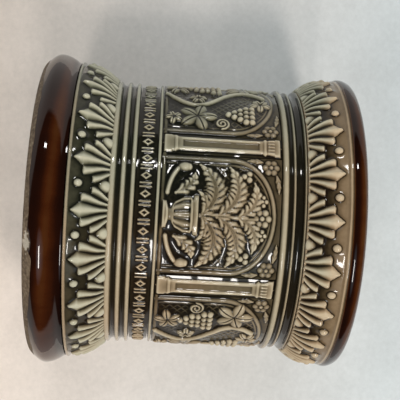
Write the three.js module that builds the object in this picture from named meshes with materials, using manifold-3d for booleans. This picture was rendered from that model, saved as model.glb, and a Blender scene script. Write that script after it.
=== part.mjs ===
// A lidded stoneware tobacco jar with moulded leaf borders and a relief frieze.
// It is built as the potter builds it: a turned wall, floor, foot and lip, with relief strips luted on with slip.
// Millimetres, +Z up, origin at the centre of the resting face. Angle 0 faces -Y and grows towards +X.
import * as THREE from 'three';
import { mergeVertices } from 'three/addons/utils/BufferGeometryUtils.js';
import Module from 'manifold-3d';

const wasm = await Module();
wasm.setup();

// Joints and clearances
const SLIP_JOINT = 0.3; // slip between two luted clay pieces
const LID_CLEARANCE = 0.5; // lid to jar, all round
const SEAT_GAP = 0.1; // cork to the ledge that it lies on

// Wall
const WALL_INNER_RADIUS = 44;
const WALL_THICKNESS = 5;
const BEAD_PROUD = 3.4; // crest of the ring mouldings above the wall
const GROOVE_DEPTH = 1.8; // from crest to groove between ring mouldings
const FLOOR_THICKNESS = 6;

// Ring mouldings, from the lowest up: the groove below each one and its own width
const LOWER_BEADS = [{ groove: 0, width: 2.1 }, { groove: 2.1, width: 1.9 }, { groove: 1.7, width: 1.7 }];
const MIDDLE_BEADS = [{ groove: 0, width: 1.3 }];
const UPPER_BEADS = [{ groove: 0, width: 2.4 }, { groove: 1.6, width: 1 }, { groove: 3.1, width: 0.7 }];

// Heights of the bands, from the resting face up
const FOOT_HEIGHT = 13.6;
const LOWER_LEAF_HEIGHT = 14.2;
const ORNAMENT_HEIGHT = 7.5;
const FRIEZE_HEIGHT = 43.7;
const UPPER_LEAF_HEIGHT = 13.1; // on the wall, up to the ledge
const LIP_NECK_HEIGHT = 2.5; // leaf strip above the ledge
const LIP_HEIGHT = 5.2;

// Foot and lip
const FOOT_RADIUS = 61.75; // widest point of the jar
const FOOT_REST_RADIUS = 57.3; // outer edge of the resting face
const FOOT_REST_WIDTH = 11.3;
const FOOT_TOP_RADIUS = 58.8;
const FOOT_FLANGE = 4; // thickness of the flange under wall and floor
const FOOT_FLANGE_REACH = 4; // how far the flange runs in under the floor
const FOOT_RECESS = 2; // hollow under the floor
const LIP_PROUD = 0.5; // lip beyond the plain band below it
const LEDGE_WIDTH = 6.5; // ledge inside the lip, for the lid

// Relief strips
const STRIP_THICKNESS = 2;
const FRIEZE_THICKNESS = 1.5;
const ORNAMENT_THICKNESS = 1.3;
const LOWER_FLARE = 6.6; // how far the leaf ground swells outwards
const UPPER_FLARE = 5.8;
const OVOLO_POWER = 2; // roundness of the swelling
const FILLET_PROUD = 1.2; // plain ring below the lower leaves
const FILLET_HEIGHT = 1.6;
const BAND_PROUD = 0.8; // plain band above the upper leaves

// Leaves of both borders
const LEAF_COUNT = 20;
const LEAF_LENGTH = 12.4;
const LEAF_RELIEF = 1.5;
const LEAF_HUB = 0.38; // highest point of the leaf, as a share of its length
const LEAF_SHOULDER = 0.55; // height of the leaf's edge, as a share of its relief
const LEAF_OUTLINE = [
  // right half of the lobed outline from the root to the tip: shares of the leaf's pitch and of its length
  [0.28, 0], [0.45, 0.52], [0.26, 0.51], [0.3, 0.78], [0.14, 0.7], [0, 1],
];
const BALL_RADIUS = 1.3;
const BALL_REACH = 0.84; // ball's place along the leaf's length

// Ornament strip: lozenges with a bar between them
const ORNAMENT_COUNT = 48;
const LOZENGE_WIDTH = 3.2;
const LOZENGE_HEIGHT = 4.4;
const BAR_WIDTH = 1.6;
const BAR_HEIGHT = 5.2;
const ORNAMENT_RELIEF = 1;

// Frieze
const PANEL_COUNT = 6;
const PILASTER_WIDTH = 8;
const PILASTER_RELIEF = 1.4;
const SHAFT_WIDTH = 4.6;
const PLINTH_WIDTH = 6.6;
const PLINTH_HEIGHT = 4;
const MOTIF_RELIEF = 1.6;
const ARCH_RELIEF = 0.8;
const ARCH_WIDTH = 1.7;
const STEM_WIDTH = 1.9;
const BERRY_RADIUS = 2.1;

// Pressed pictures: drawn on a grid of this size from the middle of the panel's foot, and stretched to the panel
const PICTURE_WIDTH = 44.6;
const PICTURE_HEIGHT = 43.1;
const ARCH_REACH = 20.6; // jambs from the panel's middle
const ARCH_SPRING = 25.5;
const ARCH_RISE = 15.2;
const PLANT_LEAVES = [
  { from: [0, 14.5], bend: [8.5, 25], to: [18.2, 13.8], width: 9.6 },
  { from: [0, 20.5], bend: [7, 32.5], to: [17.8, 24.4], width: 8.8 },
  { from: [0, 27.5], bend: [3, 36.5], to: [12.4, 33.4], width: 6.6 },
];
const URN_BOWL = [[2.2, 3], [5.6, 6], [6.7, 9.5], [7.2, 13.6]]; // right side, from the foot up
const URN_FOOT = { width: 10, height: 1.6, at: 1.6 };
const PIPE_STEM = { from: [7.6, 2.4], to: [16.4, 6] };
const PIPE_BOWL = { x: 17.2, y: 8.4, width: 3.5, height: 5.4 };
const PLANT_FLOWERS = [[0, 36.4, 3.5], [6, 36.2, 2.3], [-6, 36.2, 2.3]]; // place and size
const CORNER_FLOWERS = [[18.7, 39.2, 3.1], [-18.7, 39.2, 3.1]];
const VINE_RISE = [1, 37.5]; // from the foot to the top of the vine's stem
const VINE_SWAY = 6.4;
const VINE_WAVE = 37;
const VINE_LEAVES = [
  // place, turn in degrees and size
  [13, 12.4, 20, 7.2], [-12.6, 30, 160, 7], [-9.4, 5.4, 190, 5.2], [3.4, 36.2, 70, 4.2],
];
const VINE_BUNCHES = [[-9.8, 21, 12], [11.2, 32.6, 10]]; // top of each bunch and its length

// Lid
const LID_EDGE_DROP = 1.8; // lid's edge below the lip
const LID_DISH = 2.5; // how far the lid's top sinks to its middle
const LID_MIDDLE_THICKNESS = 5;
const PLUG_DEPTH = 8; // plug below the ledge
const SEAL_THICKNESS = 1.4;
const SEAL_MARGIN = 0.6; // cork short of the lid's edge and of the plug
const DISC_RADIUS = 29.7;
const DISC_THICKNESS = 5.6;
const LID_LEAF_COUNT = 11;
const LID_LEAF_LENGTH = 13.5;
const LID_LEAF_MARGIN = 4.5; // plain ground outside the tips of the lid's leaves
const LID_LEAF_RELIEF = 1.2;
const LID_BEAD_GAP = 3.8; // from the roots of the lid's leaves in to the ring round the knob
const LID_BEAD_WIDTH = 3.6;
const LID_BEAD_PROUD = 0.8;
const KNOB_HEIGHT = 15;
const KNOB_RADIUS = 11.5;
const KNOB_NECK_RADIUS = 6.5;
const KNOB_SEAT_DEPTH = 1;

// Facets
const TURN_STEPS = 32;
const STRIP_STEPS = 2 * LEAF_COUNT;
const PLATE_STEPS = 8;
const TAU = 2 * Math.PI;

// Levels that follow from the heights
const footTop = FOOT_HEIGHT;
const lowerLeafBottom = footTop + SLIP_JOINT;
const lowerMouldingBottom = lowerLeafBottom + LOWER_LEAF_HEIGHT;
const beadsHeight = (beads) => beads.reduce((height, { groove, width }) => height + groove + width, 0);
const ornamentBottom = lowerMouldingBottom + beadsHeight(LOWER_BEADS);
const middleMouldingBottom = ornamentBottom + ORNAMENT_HEIGHT;
const friezeBottom = middleMouldingBottom + beadsHeight(MIDDLE_BEADS);
const upperMouldingBottom = friezeBottom + FRIEZE_HEIGHT;
const upperLeafBottom = upperMouldingBottom + beadsHeight(UPPER_BEADS);
const ledge = upperLeafBottom + UPPER_LEAF_HEIGHT;
const lipBottom = ledge + LIP_NECK_HEIGHT + SLIP_JOINT;
const jarTop = lipBottom + LIP_HEIGHT;

// Radii that follow from the radii above
const wallRadius = WALL_INNER_RADIUS + WALL_THICKNESS;
const stripBack = wallRadius + SLIP_JOINT;
const beadRadius = wallRadius + BEAD_PROUD;
const grooveRadius = beadRadius - GROOVE_DEPTH;
const leafNarrowRadius = stripBack + STRIP_THICKNESS;
const friezeRadius = stripBack + FRIEZE_THICKNESS;
const ornamentRadius = stripBack + ORNAMENT_THICKNESS;
const bedInset = STRIP_THICKNESS + SLIP_JOINT; // from a leaf strip's ground in to the wall behind it

// Glazes and other finishes
const finish = (color, roughness) => new THREE.MeshStandardMaterial({ color, roughness, metalness: 0 });
const brownGlaze = finish(0x3b1c0c, 0.12);
const oliveGlaze = finish(0x6f6a52, 0.15);
const bareClay = finish(0x9a8f7c, 0.8);
const cork = finish(0xa9793f, 0.9);

// A closed ring or solid of revolution from a profile of [radius, height] points, listed outwards side going up.
function turned(profile, steps = TURN_STEPS) {
  const points = profile.map(([radius, height]) => new THREE.Vector2(radius, height));
  if (profile[0][0] > 0) points.push(points[0].clone());
  return new THREE.LatheGeometry(points, steps).rotateX(Math.PI / 2);
}

// A closed geometry as a manifold-3d solid, and back.
function solid(geometry) {
  const bare = geometry.clone();
  bare.deleteAttribute('normal');
  bare.deleteAttribute('uv');
  const merged = mergeVertices(bare, 1e-4);
  return new wasm.Manifold(new wasm.Mesh({
    numProp: 3,
    vertProperties: merged.attributes.position.array,
    triVerts: new Uint32Array(merged.index.array),
  }));
}
function geometryOf(manifold) {
  const { vertProperties, triVerts } = manifold.getMesh();
  const geometry = new THREE.BufferGeometry();
  geometry.setAttribute('position', new THREE.BufferAttribute(vertProperties, 3));
  geometry.setIndex(new THREE.BufferAttribute(triVerts, 1));
  geometry.computeVertexNormals();
  return geometry;
}
const joined = (geometries) => geometryOf(geometries.map(solid).reduce((whole, piece) => whole.add(piece)));

// Wraps a flat relief (x across, y up, z outwards) round the jar at an angle: z stands out from ground(height).
function wrapped(flat, angle, ground, scaleRadius) {
  const at = flat.attributes.position;
  for (let i = 0; i < at.count; i += 1) {
    const turn = angle + at.getX(i) / scaleRadius;
    const radius = ground(at.getY(i)) + at.getZ(i);
    at.setXYZ(i, radius * Math.sin(turn), -radius * Math.cos(turn), at.getY(i));
  }
  return flat;
}

// A low faceted crown over a flat outline: faces rise to its hub from its sunk rim, or from a steep edge with a
// shoulder, over a keel in the ground.
const KEEL = 0.6;
const SINK = 0.12;
function crowned(outline, hub, relief, shoulder = 0) {
  const points = outline.map(([x, y]) => new THREE.Vector2(x, y));
  const rim = THREE.ShapeUtils.area(points) > 0 ? points : points.reverse();
  const levels = shoulder > 0 ? [-KEEL, shoulder * relief] : [-SINK];
  const corners = levels.flatMap((z) => rim.map(({ x, y }) => [x, y, z]));
  const upper = corners.length - rim.length;
  corners.push([...hub, relief], [...hub, -KEEL - SINK]);
  const [top, keel] = [corners.length - 2, corners.length - 1];
  const faces = rim.flatMap((_, i) => {
    const next = (i + 1) % rim.length;
    const edge = shoulder > 0 ? [i, next, upper + next, i, upper + next, upper + i] : [];
    return [...edge, upper + i, upper + next, top, next, i, keel];
  });
  const geometry = new THREE.BufferGeometry();
  geometry.setAttribute('position', new THREE.Float32BufferAttribute(corners.flat(), 3));
  geometry.setIndex(faces);
  return geometry;
}
const mirrored = (half) => [...half, ...half.filter(([x]) => x !== 0).map(([x, y]) => [-x, y]).reverse()];

// A lobed leaf lying along +Y from its root: ridges run from its hub to the tips.
function lobedLeaf(width, length, relief) {
  const right = LEAF_OUTLINE.map(([x, y]) => [x * width, y * length]);
  return crowned(mirrored(right), [0, LEAF_HUB * length], relief, LEAF_SHOULDER);
}
const box = (width, height, relief, x, y, steps = 1) =>
  new THREE.BoxGeometry(width, height, relief + KEEL, steps, 1, 1).translate(x, y, (relief - KEEL) / 2);
const knobble = (radius, x, y) => new THREE.IcosahedronGeometry(radius).translate(x, y, 0);

// The half of a ring between a seam and the seam half a turn further on, short of each by half a slip joint.
function halfRing(ring, seam) {
  const reach = 2 * FOOT_RADIUS;
  const gap = SLIP_JOINT / 2;
  const corners = [[-reach, -gap], [reach, -gap], [reach, -reach], [-reach, -reach]];
  const half = new THREE.Shape(corners.map(([x, y]) => new THREE.Vector2(x, y)));
  const block = new THREE.ExtrudeGeometry(half, { depth: 2 * jarTop, bevelEnabled: false });
  return geometryOf(ring.intersect(solid(block.rotateZ(seam - Math.PI / 2))));
}

// Swelling ground of a leaf border: its radius at a share t of the way from its wide end to its narrow end.
const ovolo = (flare, t) => leafNarrowRadius + flare * (1 - Math.max(t, 0) ** OVOLO_POWER);
const OVOLO_STEPS = 3;
const ovoloShares = Array.from({ length: OVOLO_STEPS + 1 }, (_, i) => i / OVOLO_STEPS);
const lowerWideLevel = lowerLeafBottom + FILLET_HEIGHT;
const lowerSpan = lowerMouldingBottom - lowerWideLevel;
const upperSpan = ledge - upperLeafBottom;
const lowerGround = (z) => ovolo(LOWER_FLARE, (z - lowerWideLevel) / lowerSpan);
const upperGround = (z) => ovolo(UPPER_FLARE, (ledge - z) / upperSpan);

// Ring mouldings on the wall from a level up: groove, two corners of the crest, groove for each.
function beadsFrom(bottom, beads) {
  let level = bottom;
  return beads.flatMap(({ groove, width }) => {
    const start = level + groove;
    level = start + width;
    return [
      [grooveRadius, start],
      [beadRadius, start + 0.3 * width],
      [beadRadius, start + 0.7 * width],
      [grooveRadius, level],
    ];
  });
}

// The wall: a turned cylinder with ring mouldings, swelling under both leaf borders, its top the lid's ledge.
const wallFoot = FOOT_FLANGE + SLIP_JOINT;
const lowerBed = ovoloShares.map((t) => lowerWideLevel + t * lowerSpan);
const upperBed = ovoloShares.map((t) => upperLeafBottom + t * upperSpan);
const jarWall = turned([
  [wallRadius, wallFoot],
  [wallRadius, lowerLeafBottom],
  [lowerGround(lowerWideLevel) - bedInset, lowerLeafBottom],
  ...lowerBed.map((z) => [lowerGround(z) - bedInset, z]),
  ...beadsFrom(lowerMouldingBottom, LOWER_BEADS),
  [wallRadius, ornamentBottom],
  [wallRadius, middleMouldingBottom],
  ...beadsFrom(middleMouldingBottom, MIDDLE_BEADS),
  [wallRadius, friezeBottom],
  [wallRadius, upperMouldingBottom],
  ...beadsFrom(upperMouldingBottom, UPPER_BEADS),
  ...upperBed.map((z) => [upperGround(z) - bedInset, z]),
  [WALL_INNER_RADIUS, ledge],
  [WALL_INNER_RADIUS, wallFoot],
]);

// The floor: a disc inside the wall, on the foot's flange.
const floorRadius = WALL_INNER_RADIUS - SLIP_JOINT;
const baseDisc = turned([
  [0, wallFoot],
  [floorRadius, wallFoot],
  [floorRadius, wallFoot + FLOOR_THICKNESS],
  [0, wallFoot + FLOOR_THICKNESS],
]);

// The foot: a thick brown ring whose flange carries wall and floor, hollow underneath.
const footBore = wallRadius + SLIP_JOINT;
const flangeRadius = WALL_INNER_RADIUS - FOOT_FLANGE_REACH;
const footBulge = FOOT_RADIUS - FOOT_REST_RADIUS;
const footShoulder = FOOT_RADIUS - FOOT_TOP_RADIUS;
const footRing = turned([
  [FOOT_REST_RADIUS, 0],
  [FOOT_REST_RADIUS + 0.3 * footBulge, 0.06 * FOOT_HEIGHT],
  [FOOT_REST_RADIUS + 0.7 * footBulge, 0.19 * FOOT_HEIGHT],
  [FOOT_RADIUS, 0.4 * FOOT_HEIGHT],
  [FOOT_RADIUS - 0.15 * footShoulder, 0.6 * FOOT_HEIGHT],
  [FOOT_RADIUS - 0.5 * footShoulder, 0.8 * FOOT_HEIGHT],
  [FOOT_RADIUS - 0.85 * footShoulder, 0.93 * FOOT_HEIGHT],
  [FOOT_TOP_RADIUS, footTop],
  [footBore, footTop],
  [footBore, FOOT_FLANGE],
  [flangeRadius, FOOT_FLANGE],
  [flangeRadius, FOOT_RECESS],
  [FOOT_REST_RADIUS - FOOT_REST_WIDTH, 0],
]);

// The leaf borders: a swelling strip with lobed leaves and a ball between their tips.
function leavesOn(ground, root, direction) {
  const pitch = TAU / LEAF_COUNT;
  const scaleRadius = ground(root + direction * 0.5 * LEAF_LENGTH);
  const turnedOver = direction > 0 ? 0 : Math.PI;
  const pieces = [];
  const place = (flat, angle) => {
    flat.rotateZ(turnedOver).translate(0, root, 0);
    pieces.push(wrapped(flat, angle, ground, scaleRadius));
  };
  for (let i = 0; i < LEAF_COUNT; i += 1) {
    place(lobedLeaf(pitch * scaleRadius, LEAF_LENGTH, LEAF_RELIEF), i * pitch);
    place(knobble(BALL_RADIUS, 0, BALL_REACH * LEAF_LENGTH), (i + 0.5) * pitch);
  }
  return pieces.map(solid).reduce((whole, piece) => whole.add(piece));
}
const seamAngle = (Math.floor(LEAF_COUNT / 4) + 0.5) * (TAU / LEAF_COUNT);

const lowerStripTop = lowerMouldingBottom - SLIP_JOINT;
const filletRadius = lowerGround(lowerWideLevel) + FILLET_PROUD;
const lowerStripLevels = ovoloShares.map((t) => lowerWideLevel + t * (lowerStripTop - lowerWideLevel));
const lowerStrip = solid(turned([
  [lowerGround(lowerWideLevel) - STRIP_THICKNESS, lowerLeafBottom],
  [filletRadius - 0.4, lowerLeafBottom],
  [filletRadius, lowerLeafBottom + 0.5 * FILLET_HEIGHT],
  [filletRadius - 0.4, lowerWideLevel],
  ...lowerStripLevels.map((z) => [lowerGround(z), z]),
  ...lowerStripLevels.map((z) => [lowerGround(z) - STRIP_THICKNESS, z]).reverse(),
], STRIP_STEPS)).add(leavesOn(lowerGround, lowerStripTop, -1));

const upperStripBottom = upperLeafBottom + SLIP_JOINT;
const upperStripTop = ledge + LIP_NECK_HEIGHT;
const upperStripLevels = ovoloShares.map((t) => upperStripBottom + t * (ledge - upperStripBottom));
const bandRadius = upperGround(ledge) + BAND_PROUD;
const upperStrip = solid(turned([
  ...upperStripLevels.map((z) => [upperGround(z), z]),
  [bandRadius, ledge + 0.2 * LIP_NECK_HEIGHT],
  [bandRadius, upperStripTop],
  [upperGround(ledge) - STRIP_THICKNESS, upperStripTop],
  ...upperStripLevels.map((z) => [upperGround(z) - STRIP_THICKNESS, z]).reverse(),
], STRIP_STEPS)).add(leavesOn(upperGround, upperStripBottom, 1));

// The ornament strip: lozenges with a bar between them, on a plain band.
const ornamentGround = () => ornamentRadius;
const ornamentMiddle = ornamentBottom + 0.5 * ORNAMENT_HEIGHT;
function ornamentRing() {
  const pitch = TAU / ORNAMENT_COUNT;
  const band = turned([
    [ornamentRadius, ornamentBottom + SLIP_JOINT],
    [ornamentRadius, middleMouldingBottom - SLIP_JOINT],
    [stripBack, middleMouldingBottom - SLIP_JOINT],
    [stripBack, ornamentBottom + SLIP_JOINT],
  ], STRIP_STEPS);
  const pieces = [band];
  for (let i = 0; i < ORNAMENT_COUNT; i += 1) {
    const lozenge = new THREE.OctahedronGeometry(1);
    lozenge.scale(LOZENGE_WIDTH / 2, LOZENGE_HEIGHT / 2, ORNAMENT_RELIEF).translate(0, ornamentMiddle, 0);
    pieces.push(wrapped(lozenge, i * pitch, ornamentGround, ornamentRadius));
    const bar = box(BAR_WIDTH, BAR_HEIGHT, ORNAMENT_RELIEF, 0, ornamentMiddle);
    pieces.push(wrapped(bar, (i + 0.5) * pitch, ornamentGround, ornamentRadius));
  }
  return pieces.map(solid).reduce((whole, piece) => whole.add(piece));
}
const ornamentSeam = (Math.floor(ORNAMENT_COUNT / 4) + 0.25) * (TAU / ORNAMENT_COUNT);

// The frieze: six curved panels between pilasters, each panel with a plant in an urn or a vine with grapes.
const friezeGround = () => friezeRadius;
const friezePitch = TAU / PANEL_COUNT;
const panelWidth = friezePitch * friezeRadius - PILASTER_WIDTH - 2 * SLIP_JOINT;
const panelBottom = friezeBottom + SLIP_JOINT;
const panelHeight = FRIEZE_HEIGHT - 2 * SLIP_JOINT;
const friezePlate = (width, steps) =>
  new THREE.BoxGeometry(width, panelHeight, FRIEZE_THICKNESS, steps, 1, 1)
    .translate(0, panelBottom + panelHeight / 2, -FRIEZE_THICKNESS / 2);
const across = (x) => (x * panelWidth) / PICTURE_WIDTH;
const up = (y) => panelBottom + (y * panelHeight) / PICTURE_HEIGHT;
const drawn = ([x, y]) => [across(x), up(y)];

// A straight bar of the picture between two points, long enough to join the next one.
function bar(from, to, width, relief) {
  const [x0, y0] = drawn(from);
  const [x1, y1] = drawn(to);
  const length = Math.hypot(x1 - x0, y1 - y0) + 0.5 * width;
  const piece = box(width, length, relief, 0, 0).rotateZ(-Math.atan2(x1 - x0, y1 - y0));
  return piece.translate((x0 + x1) / 2, (y0 + y1) / 2, 0);
}

// A leaf on a bent midrib: its rim follows a quadratic curve on both sides, its hub lies half way along.
function bentLeaf({ from, bend, to, width }, side) {
  const at = (t) => [0, 1].map((k) => (1 - t) ** 2 * from[k] + 2 * t * (1 - t) * bend[k] + t ** 2 * to[k]);
  const beside = (t, half) => {
    const [ax, ay] = at(t - 0.05);
    const [bx, by] = at(t + 0.05);
    const span = Math.hypot(bx - ax, by - ay);
    const [x, y] = at(t);
    return [x - (half * (by - ay)) / span, y + (half * (bx - ax)) / span];
  };
  const half = 0.45 * width;
  const rim = [from, beside(0.3, half), beside(0.7, half), to, beside(0.7, -half), beside(0.3, -half)];
  const turnedTo = ([x, y]) => drawn([side * x, y]);
  return crowned(rim.map(turnedTo), turnedTo(at(0.5)), MOTIF_RELIEF);
}
const FLOWER_SIDES = 6;
const flower = ([x, y, size]) => {
  const turns = Array.from({ length: FLOWER_SIDES }, (_, i) => (TAU * i) / FLOWER_SIDES);
  const rim = turns.map((turn) => drawn([x + size * Math.cos(turn), y + size * Math.sin(turn)]));
  return crowned(rim, drawn([x, y]), MOTIF_RELIEF);
};

// Jambs and a round arch over each picture, with a flower in each upper corner.
const ARCH_STEPS = 6;
function archPieces() {
  const crown = Array.from({ length: ARCH_STEPS + 1 }, (_, i) => {
    const turn = (Math.PI * i) / ARCH_STEPS;
    return [ARCH_REACH * Math.cos(turn), ARCH_SPRING + ARCH_RISE * Math.sin(turn)];
  });
  const line = [[ARCH_REACH, 1], ...crown, [-ARCH_REACH, 1]];
  const bars = line.slice(1).map((to, i) => bar(line[i], to, ARCH_WIDTH, ARCH_RELIEF));
  return [friezePlate(panelWidth, PLATE_STEPS), ...bars, ...CORNER_FLOWERS.map(flower)];
}
function plantPanel() {
  const pieces = archPieces();
  const bowlHub = drawn([0, 0.6 * URN_BOWL.at(-1)[1]]);
  pieces.push(crowned(mirrored(URN_BOWL).map(drawn), bowlHub, 1.3 * MOTIF_RELIEF));
  pieces.push(box(across(URN_FOOT.width), URN_FOOT.height, MOTIF_RELIEF, 0, up(URN_FOOT.at)));
  pieces.push(bar([0, URN_FOOT.at], [0, PLANT_FLOWERS[0][1]], STEM_WIDTH, 0.6 * MOTIF_RELIEF));
  for (const side of [-1, 1]) {
    PLANT_LEAVES.forEach((leaf) => pieces.push(bentLeaf(leaf, side)));
    const [from, to] = [PIPE_STEM.from, PIPE_STEM.to].map(([x, y]) => [side * x, y]);
    pieces.push(bar(from, to, STEM_WIDTH, 0.6 * MOTIF_RELIEF));
    const { x, y, width, height } = PIPE_BOWL;
    pieces.push(box(width, height, 0.8 * MOTIF_RELIEF, across(side * x), up(y)));
  }
  return [...pieces, ...PLANT_FLOWERS.map(flower)];
}
const STEM_STEPS = 6;
const STAR_TIPS = 5;
function vinePanel() {
  const pieces = archPieces();
  const [foot, top] = VINE_RISE;
  const stem = Array.from({ length: STEM_STEPS + 1 }, (_, i) => {
    const y = foot + ((top - foot) * i) / STEM_STEPS;
    return [VINE_SWAY * Math.sin((TAU * (y - 2.6)) / VINE_WAVE), y];
  });
  stem.slice(1).forEach((to, i) => pieces.push(bar(stem[i], to, STEM_WIDTH, 0.6 * MOTIF_RELIEF)));
  for (const [x, y, degrees, size] of VINE_LEAVES) {
    const star = Array.from({ length: 2 * STAR_TIPS }, (_, i) => {
      const turn = THREE.MathUtils.degToRad(degrees) + (Math.PI * i) / STAR_TIPS;
      const reach = size * (i % 2 === 0 ? 1.05 : 0.5);
      return drawn([x + reach * Math.cos(turn), y + reach * Math.sin(turn)]);
    });
    pieces.push(crowned(star, drawn([x, y]), MOTIF_RELIEF));
  }
  for (const [x, y, length] of VINE_BUNCHES) {
    const wide = 0.42 * length;
    const rim = [[x - wide, y + 1.4], [x - 0.8 * wide, y - 0.4 * length], [x, y - length]];
    const right = rim.slice(0, 2).map(([px, py]) => [2 * x - px, py]).reverse();
    const bunch = [...rim, ...right].map(drawn);
    pieces.push(crowned(bunch, drawn([x, y - 0.25 * length]), 0.9 * MOTIF_RELIEF));
    for (const [px, py] of [[-0.5, 0], [0.5, 0], [0, 0.33]]) {
      const berry = new THREE.OctahedronGeometry(BERRY_RADIUS).scale(1, 1, 0.5).translate(0, 0, 0.5 * MOTIF_RELIEF);
      pieces.push(berry.translate(across(x + px * wide), up(y - py * length), 0));
    }
  }
  return pieces;
}
function pilaster() {
  const plinthY = 0.5 * PLINTH_HEIGHT + 0.6;
  return [
    friezePlate(PILASTER_WIDTH, 1),
    box(PLINTH_WIDTH, PLINTH_HEIGHT, PILASTER_RELIEF, 0, panelBottom + plinthY),
    box(PLINTH_WIDTH, PLINTH_HEIGHT, PILASTER_RELIEF, 0, panelBottom + panelHeight - plinthY),
    box(SHAFT_WIDTH, panelHeight - 2 * plinthY, 0.75 * PILASTER_RELIEF, 0, panelBottom + panelHeight / 2),
  ];
}
const friezePiece = (pieces, angle) =>
  joined(pieces.map((piece) => wrapped(piece, angle, friezeGround, friezeRadius)));

// The lip: a brown ring on the outer part of the wall's top, leaving the ledge free for the lid.
const lipNeckRadius = upperGround(ledge) - bedInset;
const lipRadius = bandRadius + LIP_PROUD;
const lipInnerRadius = WALL_INNER_RADIUS + LEDGE_WIDTH;
const lipSpan = lipRadius - lipInnerRadius;
const rimRing = turned([
  [lipInnerRadius, ledge + SLIP_JOINT],
  [lipNeckRadius, ledge + SLIP_JOINT],
  [lipNeckRadius, lipBottom],
  [lipRadius - 0.2, lipBottom],
  [lipRadius, lipBottom + 0.16 * LIP_HEIGHT],
  [lipRadius - 0.04 * lipSpan, lipBottom + 0.5 * LIP_HEIGHT],
  [lipRadius - 0.11 * lipSpan, lipBottom + 0.8 * LIP_HEIGHT],
  [lipRadius - 0.26 * lipSpan, lipBottom + 0.97 * LIP_HEIGHT],
  [lipRadius - 0.5 * lipSpan, jarTop],
  [lipRadius - 0.76 * lipSpan, lipBottom + 0.96 * LIP_HEIGHT],
  [lipRadius - 0.94 * lipSpan, lipBottom + 0.78 * LIP_HEIGHT],
  [lipInnerRadius, lipBottom + 0.5 * LIP_HEIGHT],
]);

// The lid: a dished plate let into the lip, with a plug in the mouth and a hollow for the moistening disc.
const lidRadius = lipInnerRadius - LID_CLEARANCE;
const plugRadius = WALL_INNER_RADIUS - LID_CLEARANCE;
const lidUnderside = ledge + SEAT_GAP + SEAL_THICKNESS;
const lidEdge = jarTop - LID_EDGE_DROP;
const lidMiddle = lidEdge - LID_DISH;
const hollowTop = lidMiddle - LID_MIDDLE_THICKNESS;
const plugBottom = ledge - PLUG_DEPTH;
const hollowRadius = DISC_RADIUS + SLIP_JOINT;
const knobSeatRadius = KNOB_NECK_RADIUS + 1.5;
const lidTop = [
  // dished top of the lid from the knob out to its rim
  [0.35 * lidRadius, lidMiddle],
  [0.55 * lidRadius, lidEdge - 0.85 * LID_DISH],
  [0.84 * lidRadius, lidEdge - 0.45 * LID_DISH],
];
function lidGround(radius) {
  const [inner, middle, outer] = lidTop;
  const [[r0, z0], [r1, z1]] = radius < middle[0] ? [inner, middle] : [middle, outer];
  return z0 + ((z1 - z0) * (radius - r0)) / (r1 - r0);
}
const lidLeafRoot = lidTop[2][0] - LID_LEAF_MARGIN - LID_LEAF_LENGTH;
const lidBead = lidLeafRoot - LID_BEAD_GAP;
const lidBeadTop = lidGround(lidBead) + LID_BEAD_PROUD;
const besideBead = (share) => lidBead + share * LID_BEAD_WIDTH;
const lidTurned = turned([
  [0, hollowTop],
  [hollowRadius, hollowTop],
  [hollowRadius, plugBottom],
  [plugRadius - 1, plugBottom],
  [plugRadius, plugBottom + 1],
  [plugRadius, lidUnderside],
  [lidRadius, lidUnderside],
  [lidRadius, lidEdge - 0.6],
  [lidRadius - 0.6, lidEdge],
  [0.88 * lidRadius, lidEdge],
  lidTop[2],
  lidTop[1],
  [besideBead(0.5), lidGround(besideBead(0.5))],
  [besideBead(0.2), lidBeadTop],
  [besideBead(-0.2), lidBeadTop],
  [besideBead(-0.5), lidGround(besideBead(-0.5))],
  [knobSeatRadius, lidMiddle],
  [knobSeatRadius, lidMiddle - KNOB_SEAT_DEPTH],
  [0, lidMiddle - KNOB_SEAT_DEPTH],
]);

// A ring of the same leaves on the lid's top, their tips outwards, with a ball between the tips.
const lidLeafRadius = lidLeafRoot + 0.5 * LID_LEAF_LENGTH;
function onLid(flat, angle) {
  const at = flat.attributes.position;
  for (let i = 0; i < at.count; i += 1) {
    const radius = lidLeafRoot + at.getY(i);
    const turn = angle - at.getX(i) / lidLeafRadius;
    at.setXYZ(i, radius * Math.sin(turn), -radius * Math.cos(turn), lidGround(radius) + at.getZ(i));
  }
  return flat;
}
const lidPitch = TAU / LID_LEAF_COUNT;
const lidLeaves = Array.from({ length: LID_LEAF_COUNT }, (_, i) => {
  const leaf = lobedLeaf(lidPitch * lidLeafRadius, LID_LEAF_LENGTH, LID_LEAF_RELIEF);
  const ball = knobble(BALL_RADIUS, 0, BALL_REACH * LID_LEAF_LENGTH);
  return [onLid(leaf, i * lidPitch), onLid(ball, (i + 0.5) * lidPitch)];
});
const lidPlate = joined([lidTurned, ...lidLeaves.flat()]);

// The knob: turned separately and luted into a shallow seat.
const knobBase = lidMiddle - KNOB_SEAT_DEPTH + SLIP_JOINT;
const knobLevel = (share) => knobBase + share * KNOB_HEIGHT;
const KNOB_STEPS = 24;
const lidKnob = turned([
  [0, knobBase],
  [knobSeatRadius - SLIP_JOINT, knobBase],
  [knobSeatRadius - SLIP_JOINT, knobLevel(0.12)],
  [KNOB_NECK_RADIUS, knobLevel(0.22)],
  [KNOB_NECK_RADIUS, knobLevel(0.36)],
  [0.8 * KNOB_RADIUS, knobLevel(0.48)],
  [KNOB_RADIUS, knobLevel(0.64)],
  [0.9 * KNOB_RADIUS, knobLevel(0.8)],
  [0.6 * KNOB_RADIUS, knobLevel(0.92)],
  [0, knobLevel(1)],
], KNOB_STEPS);

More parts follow.
